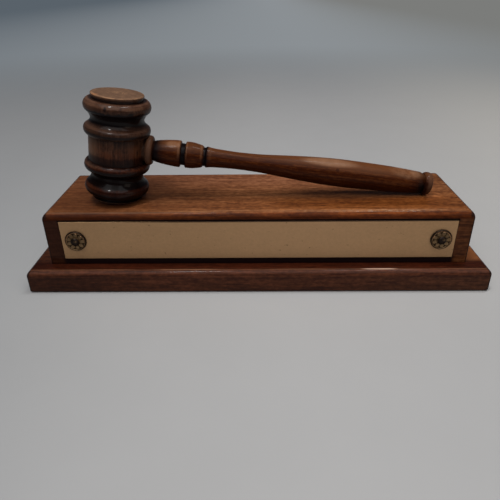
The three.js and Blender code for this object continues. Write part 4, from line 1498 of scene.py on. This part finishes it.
def hang_lamp(name, at, sides, watts, tint):
    """A soft panel that faces the object, its second side front to back."""
    data = bpy.data.lights.new(name, "AREA")
    data.shape = "RECTANGLE"
    data.size, data.size_y = sides
    data.energy = watts
    data.color = tint
    lamp = bpy.data.objects.new(name, data)
    bpy.context.scene.collection.objects.link(lamp)
    lamp.location = at
    lamp.rotation_euler = (-at).to_track_quat("-Z", "Y").to_euler()


def hang_lamps(settings):
    """Hangs the panel overhead, the two strips and the lamp at the right."""
    overhead = Vector((0, settings.ceiling_shift, settings.ceiling_height))
    ceiling_sides = (settings.ceiling_side, settings.ceiling_side)
    hang_lamp("ceiling_panel", overhead, ceiling_sides, settings.ceiling_power, WHITE)
    strip_sides = (settings.strip_width, settings.strip_length)
    for side in reversed(SIDES):
        way = Vector(getattr(settings, side + "_strip")).normalized()
        watts = getattr(settings, side + "_power")
        hang_lamp(side + "_strip", way * settings.strip_distance, strip_sides, watts, WHITE)
    fill = Vector(settings.fill).normalized() * settings.fill_distance
    fill_sides = (settings.fill_side, settings.fill_side)
    hang_lamp("fill_lamp", fill, fill_sides, settings.fill_power, settings.fill_colour)


def surround(scene, settings):
    """Puts the room's own tone round the stage, with the far floor's tone where the camera sees past it."""
    room = Room("room")
    seen = room.level(room.node("ShaderNodeLightPath"), "Is Camera Ray")
    room.set(color=room.mixed(seen, settings.world_colour, settings.floor_far))
    scene.world = room.world


def set_camera(scene, settings):
    """Sets the camera up where the photograph was taken."""
    data = bpy.data.cameras.new("camera")
    data.lens = settings.camera_lens
    data.clip_start = CLIP_START
    data.clip_end = CLIP_END
    camera = bpy.data.objects.new("camera", data)
    scene.collection.objects.link(camera)
    look = (
        Matrix.Rotation(-settings.camera_yaw, 4, "Z")
        @ Matrix.Rotation(QUARTER_TURN - settings.camera_pitch, 4, "X")
        @ Matrix.Rotation(settings.camera_roll, 4, "Z")
    )
    stand = (settings.camera_x, settings.camera_y, settings.camera_z)
    camera.matrix_world = Matrix.Translation(stand) @ look
    scene.camera = camera


class GAVEL_OT_stage(Operator):
    """Lay the floor, hang the lamps and set up the camera"""

    bl_idname = "gavel.stage"
    bl_label = "Stage"

    def execute(self, context):
        scene = context.scene
        scene.view_settings.view_transform = "Standard"
        lay_floor(scene.gavel_stage)
        hang_lamps(scene.gavel_stage)
        surround(scene, scene.gavel_stage)
        set_camera(scene, scene.gavel_stage)
        return {"FINISHED"}


OPERATORS = (
    GAVEL_OT_stage,
    GAVEL_OT_plinth,
    GAVEL_OT_block,
    GAVEL_OT_felt,
    GAVEL_OT_screws,
    GAVEL_OT_name_plate,
    GAVEL_OT_rosettes,
    GAVEL_OT_pins,
    GAVEL_OT_head,
    GAVEL_OT_handle,
)

GROUPS = (
    ("gavel_head_sizes", GavelHeadSizes),
    ("gavel_handle_sizes", GavelHandleSizes),
    ("gavel_stand_sizes", StandSizes),
    ("gavel_rosette_sizes", RosetteSizes),
    ("gavel_colours", GavelColours),
    ("gavel_stage", StageSettings),
)


class GAVEL_PT_pieces(Panel):
    """Lists the pieces, the sizes and the colours."""

    bl_idname = "GAVEL_PT_pieces"
    bl_label = "Desk gavel"
    bl_space_type = "VIEW_3D"
    bl_region_type = "UI"
    bl_category = "Gavel"

    def draw(self, context):
        for operator in OPERATORS:
            self.layout.operator(operator.bl_idname)
        for group_name, group in GROUPS:
            box = self.layout.box()
            box.label(text=group.__name__)
            for property_name in group.__annotations__:
                box.prop(getattr(context.scene, group_name), property_name)


def register():
    for group_name, group in GROUPS:
        bpy.utils.register_class(group)
        setattr(bpy.types.Scene, group_name, PointerProperty(type=group))
    for operator in OPERATORS:
        bpy.utils.register_class(operator)
    bpy.utils.register_class(GAVEL_PT_pieces)


def unregister():
    bpy.utils.unregister_class(GAVEL_PT_pieces)
    for operator in reversed(OPERATORS):
        bpy.utils.unregister_class(operator)
    for group_name, group in reversed(GROUPS):
        delattr(bpy.types.Scene, group_name)
        bpy.utils.unregister_class(group)


def main():
    register()
    bpy.ops.gavel.stage()
    bpy.ops.gavel.plinth()
    bpy.ops.gavel.block()
    bpy.ops.gavel.felt()
    bpy.ops.gavel.screws()
    bpy.ops.gavel.name_plate()
    bpy.ops.gavel.rosettes()
    bpy.ops.gavel.pins()
    bpy.ops.gavel.head()
    bpy.ops.gavel.handle()


if __name__ == "__main__":
    main()
